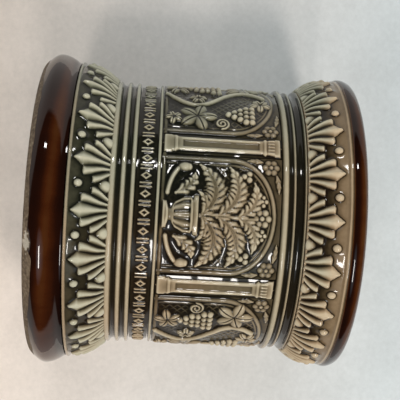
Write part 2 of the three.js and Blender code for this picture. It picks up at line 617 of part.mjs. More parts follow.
// The cork seal: a flat ring under the lid's edge, lying on the ledge.
const sealRing = turned([
  [plugRadius + SEAL_MARGIN, ledge + SEAT_GAP],
  [lidRadius - SEAL_MARGIN, ledge + SEAT_GAP],
  [lidRadius - SEAL_MARGIN, lidUnderside],
  [plugRadius + SEAL_MARGIN, lidUnderside],
]);

// The moistening disc: unglazed clay, wetted and pressed into the lid's hollow.
const moisteningDisc = turned([
  [0, hollowTop - SLIP_JOINT - DISC_THICKNESS],
  [DISC_RADIUS, hollowTop - SLIP_JOINT - DISC_THICKNESS],
  [DISC_RADIUS, hollowTop - SLIP_JOINT],
  [0, hollowTop - SLIP_JOINT],
], KNOB_STEPS);

// Assembly: the jar, and the lid that lifts off it
function named(parent, name, geometry, material) {
  const mesh = new THREE.Mesh(geometry, material.clone());
  mesh.name = name;
  parent.add(mesh);
}
const whole = new THREE.Group();
const jar = new THREE.Group();
jar.name = 'jar';
const lid = new THREE.Group();
lid.name = 'lid';
whole.add(jar, lid);

named(jar, 'jar_wall', jarWall, oliveGlaze);
named(jar, 'base_disc', baseDisc, brownGlaze);
named(jar, 'foot_ring', footRing, brownGlaze);
named(jar, 'rim_ring', rimRing, brownGlaze);
const ornament = ornamentRing();
for (const half of [0, 1]) {
  named(jar, `lower_leaf_strip_${half + 1}`, halfRing(lowerStrip, seamAngle + half * Math.PI), oliveGlaze);
  named(jar, `upper_leaf_strip_${half + 1}`, halfRing(upperStrip, seamAngle + half * Math.PI), oliveGlaze);
  named(jar, `ornament_strip_${half + 1}`, halfRing(ornament, ornamentSeam + half * Math.PI), oliveGlaze);
}
for (let i = 0; i < PANEL_COUNT; i += 1) {
  const panel = i % 2 === 0 ? plantPanel() : vinePanel();
  named(jar, `frieze_panel_${i + 1}`, friezePiece(panel, i * friezePitch), oliveGlaze);
  named(jar, `frieze_pilaster_${i + 1}`, friezePiece(pilaster(), (i + 0.5) * friezePitch), oliveGlaze);
}
named(lid, 'lid_plate', lidPlate, oliveGlaze);
named(lid, 'lid_knob', lidKnob, brownGlaze);
named(lid, 'seal_ring', sealRing, cork);
named(lid, 'moistening_disc', moisteningDisc, bareClay);

export default whole;
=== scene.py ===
import math

import bmesh
import bpy
import numpy as np
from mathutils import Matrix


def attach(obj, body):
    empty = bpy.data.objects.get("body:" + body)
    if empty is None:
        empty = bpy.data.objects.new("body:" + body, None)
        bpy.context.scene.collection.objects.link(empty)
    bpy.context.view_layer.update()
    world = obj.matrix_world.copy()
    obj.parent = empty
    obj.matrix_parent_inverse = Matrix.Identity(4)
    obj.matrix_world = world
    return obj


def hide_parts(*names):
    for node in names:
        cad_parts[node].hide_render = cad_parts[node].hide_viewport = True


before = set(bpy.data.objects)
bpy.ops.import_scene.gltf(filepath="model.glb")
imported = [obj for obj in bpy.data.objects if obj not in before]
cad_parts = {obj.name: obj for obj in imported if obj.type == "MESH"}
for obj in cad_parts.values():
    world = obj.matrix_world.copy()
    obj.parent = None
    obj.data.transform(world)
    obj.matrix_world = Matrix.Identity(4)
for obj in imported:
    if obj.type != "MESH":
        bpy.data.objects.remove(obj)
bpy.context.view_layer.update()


# Foot ring
# The heavy base of the jar: a turned stoneware ring, dipped in dark brown glaze down to a wiped,
# bare edge. Its flange carries the wall and the floor, which are luted to it with slip.
MM = 0.001
# Points this near the axis, in millimetres, are one point; they are welded at this distance in metres
POLE, WELD = 1e-6, 1e-6


def flowing(points, steps):
    """A smooth line through [radius, height] points: a Catmull-Rom curve, steps samples to each span."""
    p = np.array(points, float)
    p = np.vstack([2 * p[0] - p[1], p, 2 * p[-1] - p[-2]])
    t = np.linspace(0, 1, steps, endpoint=False)[:, None]
    spans = [
        0.5 * (2 * b + (c - a) * t + (2 * a - 5 * b + 4 * c - d) * t**2 + (3 * b - a - 3 * c + d) * t**3)
        for a, b, c, d in zip(p[:-3], p[1:-2], p[2:-1], p[3:])
    ]
    return np.vstack(spans + [p[-2:-1]])


def evenly(line, spacing):
    """The same line with its points a set distance apart, measured along it."""
    along = np.r_[0, np.cumsum(np.hypot(*np.diff(line, axis=0).T))]
    places = np.linspace(0, along[-1], max(2, int(round(along[-1] / spacing)) + 1))
    return np.column_stack([np.interp(places, along, line[:, k]) for k in (0, 1)]), places


def smoothstep(low, high, value):
    """0 below low, 1 above high, and an S-shaped rise between them."""
    t = np.clip((value - low) / (high - low), 0, 1)
    return t * t * (3 - 2 * t)


def around(angles, radius, height):
    """Points of the jar's skin in millimetres: angle 0 faces -Y and grows towards +X."""
    angles = np.broadcast_to(angles, radius.shape)
    return np.stack([radius * np.sin(angles), -radius * np.cos(angles), height], axis=-1)


def clay_piece(name, grid, full_turn, body, node, material, layers=None, crease=70):
    """A closed skin from a grid of points, angles by profile: each profile is a closed loop, outside
    going up. Profiles join round a full turn, or the two end loops are closed with a flat face.
    layers are values per point."""
    n, m = grid.shape[:2]
    index = np.arange(n * m).reshape(n, m)
    here = index if full_turn else index[:-1]
    there = np.roll(index, -1, axis=0) if full_turn else index[1:]
    above_here, above_there = np.roll(here, -1, axis=1), np.roll(there, -1, axis=1)
    quads = np.stack([here, there, above_there, above_here], axis=-1).reshape(-1, 4)
    corners = quads.ravel()
    starts = np.arange(len(quads)) * 4
    if not full_turn:
        starts = np.r_[starts, corners.size, corners.size + m]
        corners = np.r_[corners, index[0], index[-1][::-1]]
    mesh = bpy.data.meshes.new(name)
    mesh.vertices.add(n * m)
    mesh.vertices.foreach_set("co", (grid * MM).astype(np.float32).ravel())
    mesh.loops.add(corners.size)
    mesh.loops.foreach_set("vertex_index", corners.astype(np.int32))
    mesh.polygons.add(len(starts))
    mesh.polygons.foreach_set("loop_start", starts.astype(np.int32))
    mesh.update(calc_edges=True)
    for layer, values in (layers or {}).items():
        data = mesh.attributes.new(layer, "FLOAT", "POINT").data
        spread = np.broadcast_to(values, (n, m))
        data.foreach_set("value", np.ascontiguousarray(spread, np.float32).ravel())
    if np.hypot(grid[..., 0], grid[..., 1]).min() < POLE:
        welded = bmesh.new()
        welded.from_mesh(mesh)
        bmesh.ops.remove_doubles(welded, verts=welded.verts, dist=WELD)
        welded.to_mesh(mesh)
        welded.free()
    mesh.polygons.foreach_set("use_smooth", np.ones(len(mesh.polygons), bool))
    mesh.set_sharp_from_angle(angle=math.radians(crease))
    mesh.materials.append(material)
    piece = bpy.data.objects.new(name, mesh)
    bpy.context.scene.collection.objects.link(piece)
    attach(piece, body)
    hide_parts(node)
    return piece


def adder(tree, shader):
    """A function that adds a node to a tree, sets it up, and links or sets its inputs.
    The kind "shader" means the shader that is already there."""

    def add(kind, inputs=None, **settings):
        made = shader if kind == "shader" else tree.nodes.new(kind)
        for key, value in settings.items():
            setattr(made, key, value)
        for socket, value in (inputs or {}).items():
            if isinstance(value, bpy.types.NodeSocket):
                tree.links.new(value, made.inputs[socket])
            else:
                made.inputs[socket].default_value = value
        return made

    return add


def finish_material(name):
    """An empty material, and the function that adds nodes to it."""
    material = bpy.data.materials.new(name)
    material.use_nodes = True
    return material, adder(material.node_tree, material.node_tree.nodes["Principled BSDF"])


def noise(add, place, scale, detail, roughness=0.5):
    """Cloudy noise from 0 to 1; its broadest clouds are about one metre over scale wide."""
    inputs = {"Vector": place, "Scale": scale, "Detail": detail, "Roughness": roughness}
    return add("ShaderNodeTexNoise", inputs).outputs["Fac"]


def combined(add, operation, *values, clamp=False):
    """Values put together by a Math node's operation."""
    inputs = dict(enumerate(values))
    return add("ShaderNodeMath", inputs, operation=operation, use_clamp=clamp).outputs[0]


def remapped(add, value, low, high, new_low=0.0, new_high=1.0):
    """A value carried from one range to another and held within it."""
    inputs = {"Value": value, "From Min": low, "From Max": high, "To Min": new_low, "To Max": new_high}
    return add("ShaderNodeMapRange", inputs).outputs["Result"]


def bumped(add, height, strength, distance):
    """Normals roughened by a height map whose full height is distance, in metres."""
    inputs = {"Height": height, "Strength": strength, "Distance": distance}
    return add("ShaderNodeBump", inputs).outputs["Normal"]


def ramp(add, factor, stops):
    """A colour ramp from (position, linear rgb) stops, read with a factor."""
    made = add("ShaderNodeValToRGB", {"Fac": factor})
    elements = made.color_ramp.elements
    elements[0].position, elements[1].position = stops[0][0], stops[-1][0]
    for place, _ in stops[1:-1]:
        elements.new(place)
    for element, (_, colour) in zip(elements, stops):
        element.color = (*colour, 1)
    return made.outputs["Color"]


def blend(add, factor, first, second):
    """One colour changing into another by a factor from 0 to 1."""
    inputs = {0: factor, 6: first, 7: second}
    return add("ShaderNodeMix", inputs, data_type="RGBA").outputs[2]


def brown_glaze():
    """Dark brown glaze: amber where it ran thin, nearly black where it is thick,
    bare clay where it was wiped off, and pale raw clay in a chip."""
    material, add = finish_material("brown_glaze")
    place = add("ShaderNodeTexCoord").outputs["Object"]
    thin = add("ShaderNodeAttribute", attribute_name="thin").outputs["Fac"]
    bare = add("ShaderNodeAttribute", attribute_name="bare").outputs["Fac"]
    flow = add("ShaderNodeMapping", {"Vector": place, "Scale": (1, 1, 0.35)}).outputs["Vector"]
    runs = noise(add, flow, 160, 5, 0.6)
    clouds = noise(add, place, 35, 3)
    grit = noise(add, place, 900, 4)
    uneven = combined(add, "MULTIPLY_ADD", combined(add, "ADD", runs, clouds), 0.3, -0.3)
    depth = combined(add, "ADD", thin, uneven, clamp=True)
    glaze = ramp(add, depth, [
        (0.0, (0.003, 0.0009, 0.0006)),
        (0.35, (0.013, 0.0027, 0.0008)),
        (0.55, (0.033, 0.0072, 0.0014)),
        (0.7, (0.05, 0.015, 0.0036)),
        (0.85, (0.075, 0.03, 0.008)),
        (1.0, (0.13, 0.06, 0.02)),
    ])
    clay = ramp(add, grit, [
        (0.3, (0.06, 0.038, 0.022)),
        (0.5, (0.13, 0.088, 0.055)),
        (0.7, (0.21, 0.155, 0.1)),
    ])
    raw_clay = (0.42, 0.36, 0.29, 1)
    chipped = remapped(add, combined(add, "MULTIPLY_ADD", grit, 0.8, bare), 1.5, 1.75)
    ragged = combined(add, "ADD", bare, combined(add, "MULTIPLY_ADD", clouds, 0.5, -0.25))
    edge = remapped(add, ragged, 0.42, 0.58)
    colour = blend(add, edge, glaze, blend(add, chipped, clay, raw_clay))
    rough = remapped(add, edge, 0, 1, 0.035, 0.75)
    ripple = combined(add, "MULTIPLY", runs, 0.25)
    normal = bumped(add, combined(add, "MULTIPLY_ADD", grit, edge, ripple), 0.35, 0.0004)
    add("shader", {"Base Color": colour, "Roughness": rough, "Normal": normal, "IOR": 1.52})
    return material


BROWN_GLAZE = brown_glaze()


def turn_angles(count):
    """Angles of one turn round the jar, as a column."""
    return np.linspace(0, 2 * math.pi, count, endpoint=False)[:, None]


def spun(profile, turns):
    """Radius and height of a profile's points at every turn, as two grids."""
    return [np.tile(profile[:, k], (len(turns), 1)) for k in (0, 1)]


FOOT_TURNS = turn_angles(400)
foot_outside, _ = evenly(flowing([
    (57.3, 0.05), (58.2, 0.35), (59.2, 1.3), (60.4, 2.7), (61.3, 4.1), (61.75, 5.6),
    (61.6, 7.3), (61.0, 9.2), (60.05, 11.0), (59.1, 12.3), (58.75, 13.0), (58.7, 13.6),
], 8), 0.25)
foot_inside = np.array([
    (55, 13.65), (49.4, 13.6), (49.4, 4.05), (40.05, 4.0), (40.05, 2.1), (46, 0.0), (52, 0.0),
])
foot_profile = np.vstack([foot_outside, foot_inside])
foot_radius, foot_height = spun(foot_profile, FOOT_TURNS)
foot_turn = np.where(FOOT_TURNS > math.pi, FOOT_TURNS - 2 * math.pi, FOOT_TURNS)
foot_turn = np.broadcast_to(foot_turn, foot_radius.shape)
outer_skin = np.arange(len(foot_profile)) < len(foot_outside)

# A worn chip on the bare edge, and the slight unevenness of a ring finished by hand
CHIP_TURN, CHIP_RADIUS, CHIP_HEIGHT = math.radians(12), 60, 1.7
CHIP_SPAN, CHIP_TALL, CHIP_DEPTH = 4.4, 1.6, 0.55
chip_across = (foot_turn - CHIP_TURN) * CHIP_RADIUS / CHIP_SPAN
chip_up = (foot_height - CHIP_HEIGHT) / CHIP_TALL
chip_edge = 1 + 0.25 * np.sin(foot_turn * 95) + 0.2 * np.sin(foot_turn * 210 + foot_height * 3)
chip = np.clip(chip_edge - chip_across**2 - chip_up**2, 0, 1) * outer_skin
hand = 0.05 * np.sin(2 * foot_turn + 1) + 0.04 * np.sin(5 * foot_turn)
hand = hand + 0.03 * np.sin(3 * foot_turn + foot_height / 4)
foot_radius += outer_skin * hand - CHIP_DEPTH * smoothstep(0, 0.7, chip)

# Where the glaze was wiped off: a wavering line, higher up beside the chip
WIPED_HEIGHT, WIPED_HIGHER = 2.05, 1.3
wiped = WIPED_HEIGHT + 0.2 * np.sin(7 * foot_turn) + 0.15 * np.sin(17 * foot_turn + 2)
wiped = wiped + 0.1 * np.sin(43 * foot_turn)
wiped = wiped + WIPED_HIGHER * smoothstep(0.24, 0.3, foot_turn) * smoothstep(0.75, 0.5, foot_turn)
foot_bare = np.where(outer_skin, 1 - smoothstep(-0.35, 0.35, foot_height - wiped), foot_height < 3.0)
foot_bare = np.maximum(foot_bare, 1.4 * smoothstep(0.05, 0.5, chip))

# The glaze ran thin along the fullest part of the ring, and is redder on one side; the amber band is also
# a painted reflection, the redder side painted warm light
FOOT_THIN, AMBER_AND_REFLECTION_THIN = 0.25, 0.34
foot_runs = 0.07 * np.sin(5 * foot_turn + 0.6) * np.sin(2 * foot_turn)
foot_runs = foot_runs + 0.05 * np.sin(3 * foot_turn + foot_height)
# The amber band is partly thin glaze and partly a painted reflection streak
amber_and_reflection_height = 8.8 - 2.0 * np.sin(foot_turn)
amber_and_reflection = np.exp(-(((foot_height - amber_and_reflection_height) / 2.8) ** 2))
# Painted warm light: the side facing +X is made redder and lighter
painted_warm_light = smoothstep(0.1, 0.7, np.sin(foot_turn))
full_part = smoothstep(2.5, 4.5, foot_height) * smoothstep(12, 10, foot_height)
foot_thin_and_painted_light = FOOT_THIN + foot_runs + (AMBER_AND_REFLECTION_THIN - 0.14 * painted_warm_light) * amber_and_reflection + 0.16 * painted_warm_light * full_part
foot_thin_and_painted_light = foot_thin_and_painted_light - 0.16 * smoothstep(11, 13, foot_height)
clay_piece(
    "foot_ring_glazed", around(FOOT_TURNS, foot_radius, foot_height), True,
    "jar", "foot_ring", BROWN_GLAZE, {"thin": foot_thin_and_painted_light, "bare": foot_bare},
)


# Floor
# A flat disc of the same clay, dropped inside the wall on to the foot's flange.
# Its upper side is glazed brown, the lower one is bare.
FLOOR_TURNS = turn_angles(200)


def turned_piece(name, profile, turns, body, node, material, layers=None, crease=50):
    """A piece thrown on the wheel: a closed loop of [radius, height] points carried round the axis."""
    skin = around(turns, *spun(np.array(profile, float), turns))
    return clay_piece(name, skin, True, body, node, material, layers, crease)


floor_profile = [
    (0, 4.35), (20, 4.35), (43.6, 4.35), (43.7, 4.6), (43.7, 10.0), (43.4, 10.3), (20, 10.3), (0, 10.3),
]
floor_bare = [1, 1, 1, 0, 0, 0, 0, 0]
turned_piece(
    "floor_glazed", floor_profile, FLOOR_TURNS,
    "jar", "base_disc", BROWN_GLAZE, {"thin": 0.45, "bare": floor_bare},
)


# Wall
# A turned cylinder with ring mouldings cut into its outside; olive glaze thins to tan on the crests
# and pools nearly black in the grooves. Its top is the ledge that the lid lies on.
def olive_glaze():
    """Translucent olive glaze: tan clay shows where it is thin, greenish black where it pools."""
    material, add = finish_material("olive_glaze")
    place = add("ShaderNodeTexCoord").outputs["Object"]
    thin = add("ShaderNodeAttribute", attribute_name="thin").outputs["Fac"]
    browned_and_warm_light = add("ShaderNodeAttribute", attribute_name="browned_and_warm_light").outputs["Fac"]
    clouds = noise(add, place, 55, 4)
    speck = noise(add, place, 700, 3)
    uneven = combined(add, "MULTIPLY_ADD", clouds, 0.16, -0.08)
    uneven = combined(add, "MULTIPLY_ADD", speck, 0.12, uneven)
    depth = combined(add, "ADD", combined(add, "ADD", thin, uneven), -0.06, clamp=True)
    green = ramp(add, depth, [
        (0.0, (0.005, 0.006, 0.004)),
        (0.2, (0.018, 0.018, 0.011)),
        (0.45, (0.085, 0.08, 0.05)),
        (0.7, (0.22, 0.21, 0.148)),
        (1.0, (0.42, 0.395, 0.295)),
    ])
    tan = ramp(add, depth, [
        (0.0, (0.009, 0.005, 0.003)),
        (0.2, (0.028, 0.019, 0.009)),
        (0.45, (0.13, 0.087, 0.048)),
        (0.7, (0.29, 0.205, 0.125)),
        (1.0, (0.47, 0.37, 0.25)),
    ])
    # Brownness here is partly real and partly painted warm light on the side facing +X
    warm = combined(add, "ADD", noise(add, place, 22, 2), browned_and_warm_light)
    colour = blend(add, remapped(add, warm, 0.5, 0.9), green, tan)
    normal = bumped(add, combined(add, "MULTIPLY_ADD", speck, 0.3, clouds), 0.12, 0.0003)
    rough = remapped(add, speck, 0, 1, 0.03, 0.1)
    add("shader", {"Base Color": colour, "Roughness": rough, "Normal": normal, "IOR": 1.5})
    return material


OLIVE_GLAZE = olive_glaze()
WALL_RADIUS, WALL_INSIDE, LEDGE, WALL_FOOT = 49.0, 44.0, 112.0, 4.35
GROOVE_RADIUS = 50.7
# Ring mouldings: middle, half width and crest radius
BEADS = np.array([
    (29.3, 1.15, 52.4), (33.2, 0.85, 52.3), (36.7, 0.8, 52.2), (45.75, 0.6, 51.9),
    (91.3, 1.1, 52.6), (94.6, 0.5, 51.9), (98.5, 0.45, 52.5),
])
# How far the glaze thins on each crest
BEAD_THINS = [1, 1, 1, 0.95, 1, 0.8, 0.75]
# The lowest and highest places of the turned mouldings
MOULDINGS = [(28.1, 37.6), (45.1, 46.4), (90.1, 98.9)]
# The swelling at the foot starts here and is this tall, and the flare ends at the lip and is this tall
SWELL_LOW, SWELL_TALL, FLARE_TALL = 15.5, 12.6, 13.1
# Heights of the profile's points as (low, high, step), closest together at the mouldings
WALL_POINTS = [(13.95, 28, 0.7), (28.0, 46.6, 0.12), (47, 90, 3), (90.0, 99, 0.12), (99.4, 112, 0.7)]


def wall_outside():
    """Radius, height and glaze thinness up the wall: grooves with half-round beads, and plain beds
    behind the strips, which widen by a square law towards the foot and the lip."""
    height = np.concatenate([np.arange(low, high, step) for low, high, step in WALL_POINTS])
    bead = np.abs(height[:, None] - BEADS[:, 0]) / BEADS[:, 1]
    crest = 1 / (1 + bead**4)
    radius = np.max(GROOVE_RADIUS + crest * (BEADS[:, 2] - GROOVE_RADIUS), axis=1)
    hollow = -0.35 * np.sin(np.clip((height - 95.1) / 3.0, 0, 1) * math.pi)
    in_moulding = np.any([(height >= low) & (height <= high) for low, high in MOULDINGS], axis=0)
    lower_bed = 55.6 - 6.7 * np.clip((height - SWELL_LOW) / SWELL_TALL, 0, 1) ** 2
    upper_bed = 54.8 - 5.8 * np.clip((LEDGE - height) / FLARE_TALL, 0, 1) ** 2
    bed = np.where(height > MOULDINGS[-1][1], upper_bed, WALL_RADIUS)
    bed = np.where(height < MOULDINGS[0][0], lower_bed, bed)
    thin = 0.05 + 0.8 * smoothstep(0.1, 1.0, np.max(crest * BEAD_THINS, axis=1))
    return np.where(in_moulding, radius + hollow, bed), height, np.where(in_moulding, thin, 0.15)


wall_radius, wall_height, wall_thin = wall_outside()
wall_profile = np.vstack([
    [(WALL_RADIUS, WALL_FOOT), (WALL_RADIUS, 13.9)],
    np.column_stack([wall_radius, wall_height]),
    [(54.7, LEDGE), (WALL_INSIDE + 0.4, LEDGE), (WALL_INSIDE, LEDGE - 0.4)],
    [(WALL_INSIDE, 60), (WALL_INSIDE, WALL_FOOT)],
])
wall_thin = np.r_[0.1, 0.1, wall_thin, 0.55, 0.6, 0.6, 0.42, 0.3]
WALL_TURNS = turn_angles(320)
# Browner towards +X: partly real brownness, partly painted warm light on that side
wall_brown_and_warm_light = 0.1 + 0.18 * np.sin(WALL_TURNS)
turned_piece(
    "jar_wall_glazed", wall_profile, WALL_TURNS,
    "jar", "jar_wall", OLIVE_GLAZE, {"thin": wall_thin, "browned_and_warm_light": wall_brown_and_warm_light}, 60,
)


# Leaf strips
# Pressed clay strips with a row of lobed leaves, balls between the tips and buds between the roots.
# They are luted to the swelling at the foot and, turned over, to the flare below the lip.
# Each goes half way round.
LEAF_RELIEF, LEAF_COUNT = 1.65, 20
LEAF_PITCH = 2 * math.pi / LEAF_COUNT
LEAF_SCALE_RADIUS, HAND_RADIUS = 57.0, 52
STRIP_STEP = 0.2


def dome(distance, half):
    """A half-round section: 1 in the middle, 0 where the distance reaches half."""
    return np.sqrt(np.clip(1 - (distance / half) ** 2, 0, 1))


# Edges of the lobes as (height above the root, millimetres from the leaf's middle): the flank of the
# pointed middle lobe, the outer flank of the side lobe, and both flanks of the outer lobe
MIDDLE_FLANK = [
    (-1, 1.0), (0, 1.1), (3, 1.3), (5.4, 1.75), (7.5, 2.3), (9.2, 2.65),
    (10.4, 2.85), (11.2, 2.2), (12.1, 1.4), (13.0, 0.65), (13.8, 0.02),
]
SIDE_FLANK = [(-1, 2.6), (0, 2.9), (3, 3.8), (5, 4.6), (7.1, 5.5), (8.9, 6.0), (10.4, 6.1)]
OUTER_INSIDE = [(-1, 2.7), (0, 3.0), (1, 3.4), (3.7, 4.6), (6.4, 5.8), (6.8, 5.9)]
OUTER_FLANK = [(-1, 4.5), (0, 5.2), (1, 5.9), (2.4, 7.1), (3.7, 8.0), (5.4, 8.6), (6.8, 8.7)]
# Where each lobe ends, and the place of the bud and the ball above the root with their half sizes
LEAF_TIP, SIDE_END, OUTER_END = 13.8, 10.5, 6.8
BUD_HEIGHT, BUD_ACROSS, BUD_TALL = 0.9, 2.6, 3.3
BALL_HEIGHT, BALL_RADIUS = 11.5, 1.4


def leaf_relief(x, from_gap, y):
    """Height of the ornament, 0 to about 1, at x across from a leaf's middle, from_gap across from the
    nearest gap between leaves, and y up from the root, in millimetres. Each lobe falls off from a ridge
    along it to the grooves beside it, which get shallower and narrower towards the ends."""
    x = np.abs(x)
    flanks = (MIDDLE_FLANK, SIDE_FLANK, OUTER_INSIDE, OUTER_FLANK)
    middle, side, inside, outer = [np.interp(y, *np.transpose(flank)) for flank in flanks]
    rise = 0.9 + 0.1 * smoothstep(0, 6, y)
    groove = 0.18 + 0.1 * smoothstep(3, 11, y)
    reach = 0.92 + 0.08 * smoothstep(2, 9, y)
    lobes = []
    for low, high, ridge, width, end in (
        (-middle, middle, 0, reach, LEAF_TIP),
        (middle, side, 0.2, 0.1 + 0.9 * reach, SIDE_END),
        (inside, outer, 0.1, 1, OUTER_END),
    ):
        off = (2 * x - low - high) / np.maximum(high - low, 0.04)
        outer_slope, inner_slope = (off - ridge) / (1 - ridge), (ridge - off) / (1 + ridge)
        slope = np.where(off > ridge, outer_slope, inner_slope) / width
        section = groove + (1 - groove) * (1 - np.clip(slope, 0, 1) ** 1.05)
        corner = 0.7 * np.clip(off, 0, 1) ** 4 * (end < LEAF_TIP)
        lobes.append(rise * section * (np.abs(off) < 1) * smoothstep(0, 0.5, end - corner - y))
    bud = 1 - (from_gap / BUD_ACROSS) ** 2 - ((y - BUD_HEIGHT) / BUD_TALL) ** 2
    bud = np.clip(bud, 0, 1) ** 0.7
    ball = 0.9 * dome(np.hypot(from_gap, 0.9 * (y - BALL_HEIGHT)), BALL_RADIUS)
    return np.max([*lobes, bud, ball], axis=0)


def blurred(height, reach):
    """A height map averaged over a square window of reach samples each way."""
    for axis in (0, 1):
        width = [(reach + 1, reach) if k == axis else (0, 0) for k in (0, 1)]
        total = np.cumsum(np.pad(height, width, mode="edge"), axis=axis)
        low = np.take(total, np.arange(height.shape[axis]), axis=axis)
        high = np.take(total, np.arange(2 * reach + 1, 2 * reach + 1 + height.shape[axis]), axis=axis)
        height = (high - low) / (2 * reach + 1)
    return height


def glazed(relief, reach):
    """A pressed relief after glazing: edges softened, and the corners at the foot of raised parts filled
    by glaze, which reaches some samples out from them."""
    return np.maximum(blurred(relief, 1), 0.75 * blurred(blurred(relief, reach), reach))


def hand_waves(turns, height):
    """Slight unevenness of hand-pressed clay, in millimetres: a few crossing waves over the skin."""
    along = turns * HAND_RADIUS
    short = np.sin(along / 1.3 + np.sin(height / 1.7)) + np.sin(height / 0.9 + 2 * np.sin(along / 2.3))
    broad = np.sin(along / 3.1 + height / 2.2) + np.sin(along / 2.7 - height / 2.9)
    return 0.02 * short + 0.03 * broad


def pooled(relief, ground, rise, full, low=0.15, edges=1.0):
    """Glaze thinness from a relief in millimetres: ground up to a low share of the full relief, and more
    by rise at the full. Times edges, it is less in the hollows that a blur of the relief would fill, most
    of all in a line beside each raised part, and more on edges that stand out of the blur."""
    near = relief - blurred(blurred(relief, 2), 2)
    far = relief - blurred(blurred(relief, 6), 6)
    outline = np.minimum(near + 0.04, 0)
    raised = rise * smoothstep(low * full, full, relief)
    return np.clip(ground + raised + edges * (0.55 * near + 0.45 * far + outline), 0.02, 1)


def outwards(line):
    """Unit normals of a line of [radius, height] points that goes up its outside."""
    along = np.gradient(line, axis=0)
    along /= np.hypot(along[:, 0], along[:, 1])[:, None]
    return np.column_stack([along[:, 1], -along[:, 0]])


def leaf_strip(name, node, ground, back, root, direction, field, start, thins, browns):
    """Half of a leaf border: the leaves' relief stands out along the ground's normals, each leaf a little
    unlike the next. ground is the outside going up, root the place along it where leaves start, field
    the heights that they lie between. thins and browns are the glaze's thinness and brownness at the
    roots, at the tips and on the plain part, which gets dark where it meets the lip."""
    line, along = evenly(ground, STRIP_STEP)
    count = int(math.pi * LEAF_SCALE_RADIUS / STRIP_STEP) + 1
    turns = start + np.linspace(0, math.pi, count)[:, None]
    leaf = np.round(turns / LEAF_PITCH)
    from_leaf = (turns - leaf * LEAF_PITCH) * LEAF_SCALE_RADIUS
    from_gap = LEAF_PITCH / 2 * LEAF_SCALE_RADIUS - np.abs(from_leaf)
    up = direction * (along - root)[None, :]
    from_leaf = from_leaf * (1 + 0.03 * np.sin(1.7 * leaf)) - 0.03 * np.sin(2.4 * leaf + root) * up
    on_field = (line[:, 1] > field[0]) & (line[:, 1] < field[1])
    pressed = LEAF_RELIEF * leaf_relief(*np.broadcast_arrays(from_leaf, from_gap, up)) * on_field
    relief = glazed(pressed, 4) + hand_waves(turns, line[:, 1]) * on_field
    normal = outwards(line)
    behind = np.broadcast_to(np.transpose(back)[:, None], (2, len(turns), len(back)))
    radius = np.hstack([line[:, 0] + relief * normal[:, 0], behind[0]])
    height = np.hstack([line[:, 1] + relief * normal[:, 1], behind[1]])
    towards_tip = smoothstep(6, 13.5, up)
    flat = thins[0] + (thins[1] - thins[0]) * towards_tip
    smooth = thins[2] - 0.5 * smoothstep(113.7, 114.3, line[:, 1])
    leafy = pooled(pressed, flat, rise=0.72, full=1.75, low=0.05, edges=0.85)
    thin = np.where(on_field, leafy, smooth)
    leaf_brown_and_warm_light = np.where(on_field, browns[0] + (browns[1] - browns[0]) * towards_tip, browns[2])
    # The sine term makes the side facing +X browner: partly real, partly painted warm light
    leaf_brown_and_warm_light = leaf_brown_and_warm_light - 0.25 * pressed / LEAF_RELIEF + 0.15 * np.sin(turns)
    hidden = np.full(behind[0].shape, 0.1)
    layers = {
        layer: np.hstack([np.broadcast_to(values, relief.shape), hidden])
        for layer, values in (("thin", thin), ("browned_and_warm_light", leaf_brown_and_warm_light))
    }
    skin = around(turns, radius, height)
    clay_piece(name, skin, False, "jar", node, OLIVE_GLAZE, layers)


LEAF_SEAM = 5.5 * LEAF_PITCH
# Radius of the strips' ground where it is narrowest, and the height where the flare is widest
LEAF_BED, FLARE_TOP = 51.3, 112.3
lower_field = np.linspace(15.1, 27.8, 60)
lower_share = np.clip((lower_field - SWELL_LOW) / SWELL_TALL, 0, 1)
lower_swell = LEAF_BED + 6.6 * (1 - 0.2 * lower_share - 0.8 * lower_share**2)
lower_ground = np.vstack([
    flowing([(58.2, 13.95), (58.75, 14.05), (59.1, 14.45), (58.8, 14.9), (58.1, 15.05)], 8),
    np.column_stack([lower_swell, lower_field]),
])
lower_back = [(49.4, 27.8), (52.4, 24.0), (55.0, 19.0), (56.0, 15.0), (56.0, 13.95)]
lower_root = evenly(lower_ground, STRIP_STEP)[1][-1]
upper_field = np.linspace(100.2, 112.6, 60)
upper_share = np.clip((FLARE_TOP - upper_field) / FLARE_TALL, 0, 1)
upper_swell = LEAF_BED + 5.8 * (1 - 0.3 * upper_share - 0.7 * upper_share**2.6)
upper_ground = np.vstack([
    flowing([(52.2, 99.2), (52.5, 99.4), (52.3, 99.8), (51.7, 100.0)], 6),
    np.column_stack([upper_swell, upper_field]),
    flowing([(57.3, 112.9), (57.6, 113.3), (57.85, 113.8), (57.9, 114.45)], 8),
])
upper_back = [(55.5, 114.45), (55.5, 112.0), (54.0, 107.0), (51.5, 102.0), (49.5, 99.2)]
upper_root = 1.0
# Heights with leaves, then the glaze's thinness and brownness at the roots, at the tips and beside them
LOWER_LEAVES = ((15.1, 27.9), (0.22, 0.27, 0.72), (0.1, 0, 0.25))
UPPER_LEAVES = ((100.1, 113.4), (0.17, 0.54, 0.8), (0.35, 0.8, 1.0))
for half in (0, 1):
    seam = LEAF_SEAM + half * math.pi
    for place, ground, back, root, direction, (field, thins, browns) in (
        ("lower", lower_ground, lower_back, lower_root, -1, LOWER_LEAVES),
        ("upper", upper_ground, upper_back, upper_root, 1, UPPER_LEAVES),
    ):
        leaf_strip(
            f"{place}_leaves_{half + 1}", f"{place}_leaf_strip_{half + 1}",
            ground, back, root, direction, field, seam + math.pi, thins, browns,
        )


# Ornament strips
# A narrow pressed strip above the lower rings, in two halves.
# It has open lozenges with a pair of bars between them.
ORNAMENT_COUNT, ORNAMENT_RADIUS, ORNAMENT_RELIEF = 48, 50.6, 0.9
ORNAMENT_LOW, ORNAMENT_HIGH = 37.9, 44.8
STRIP_BACK = 49.35


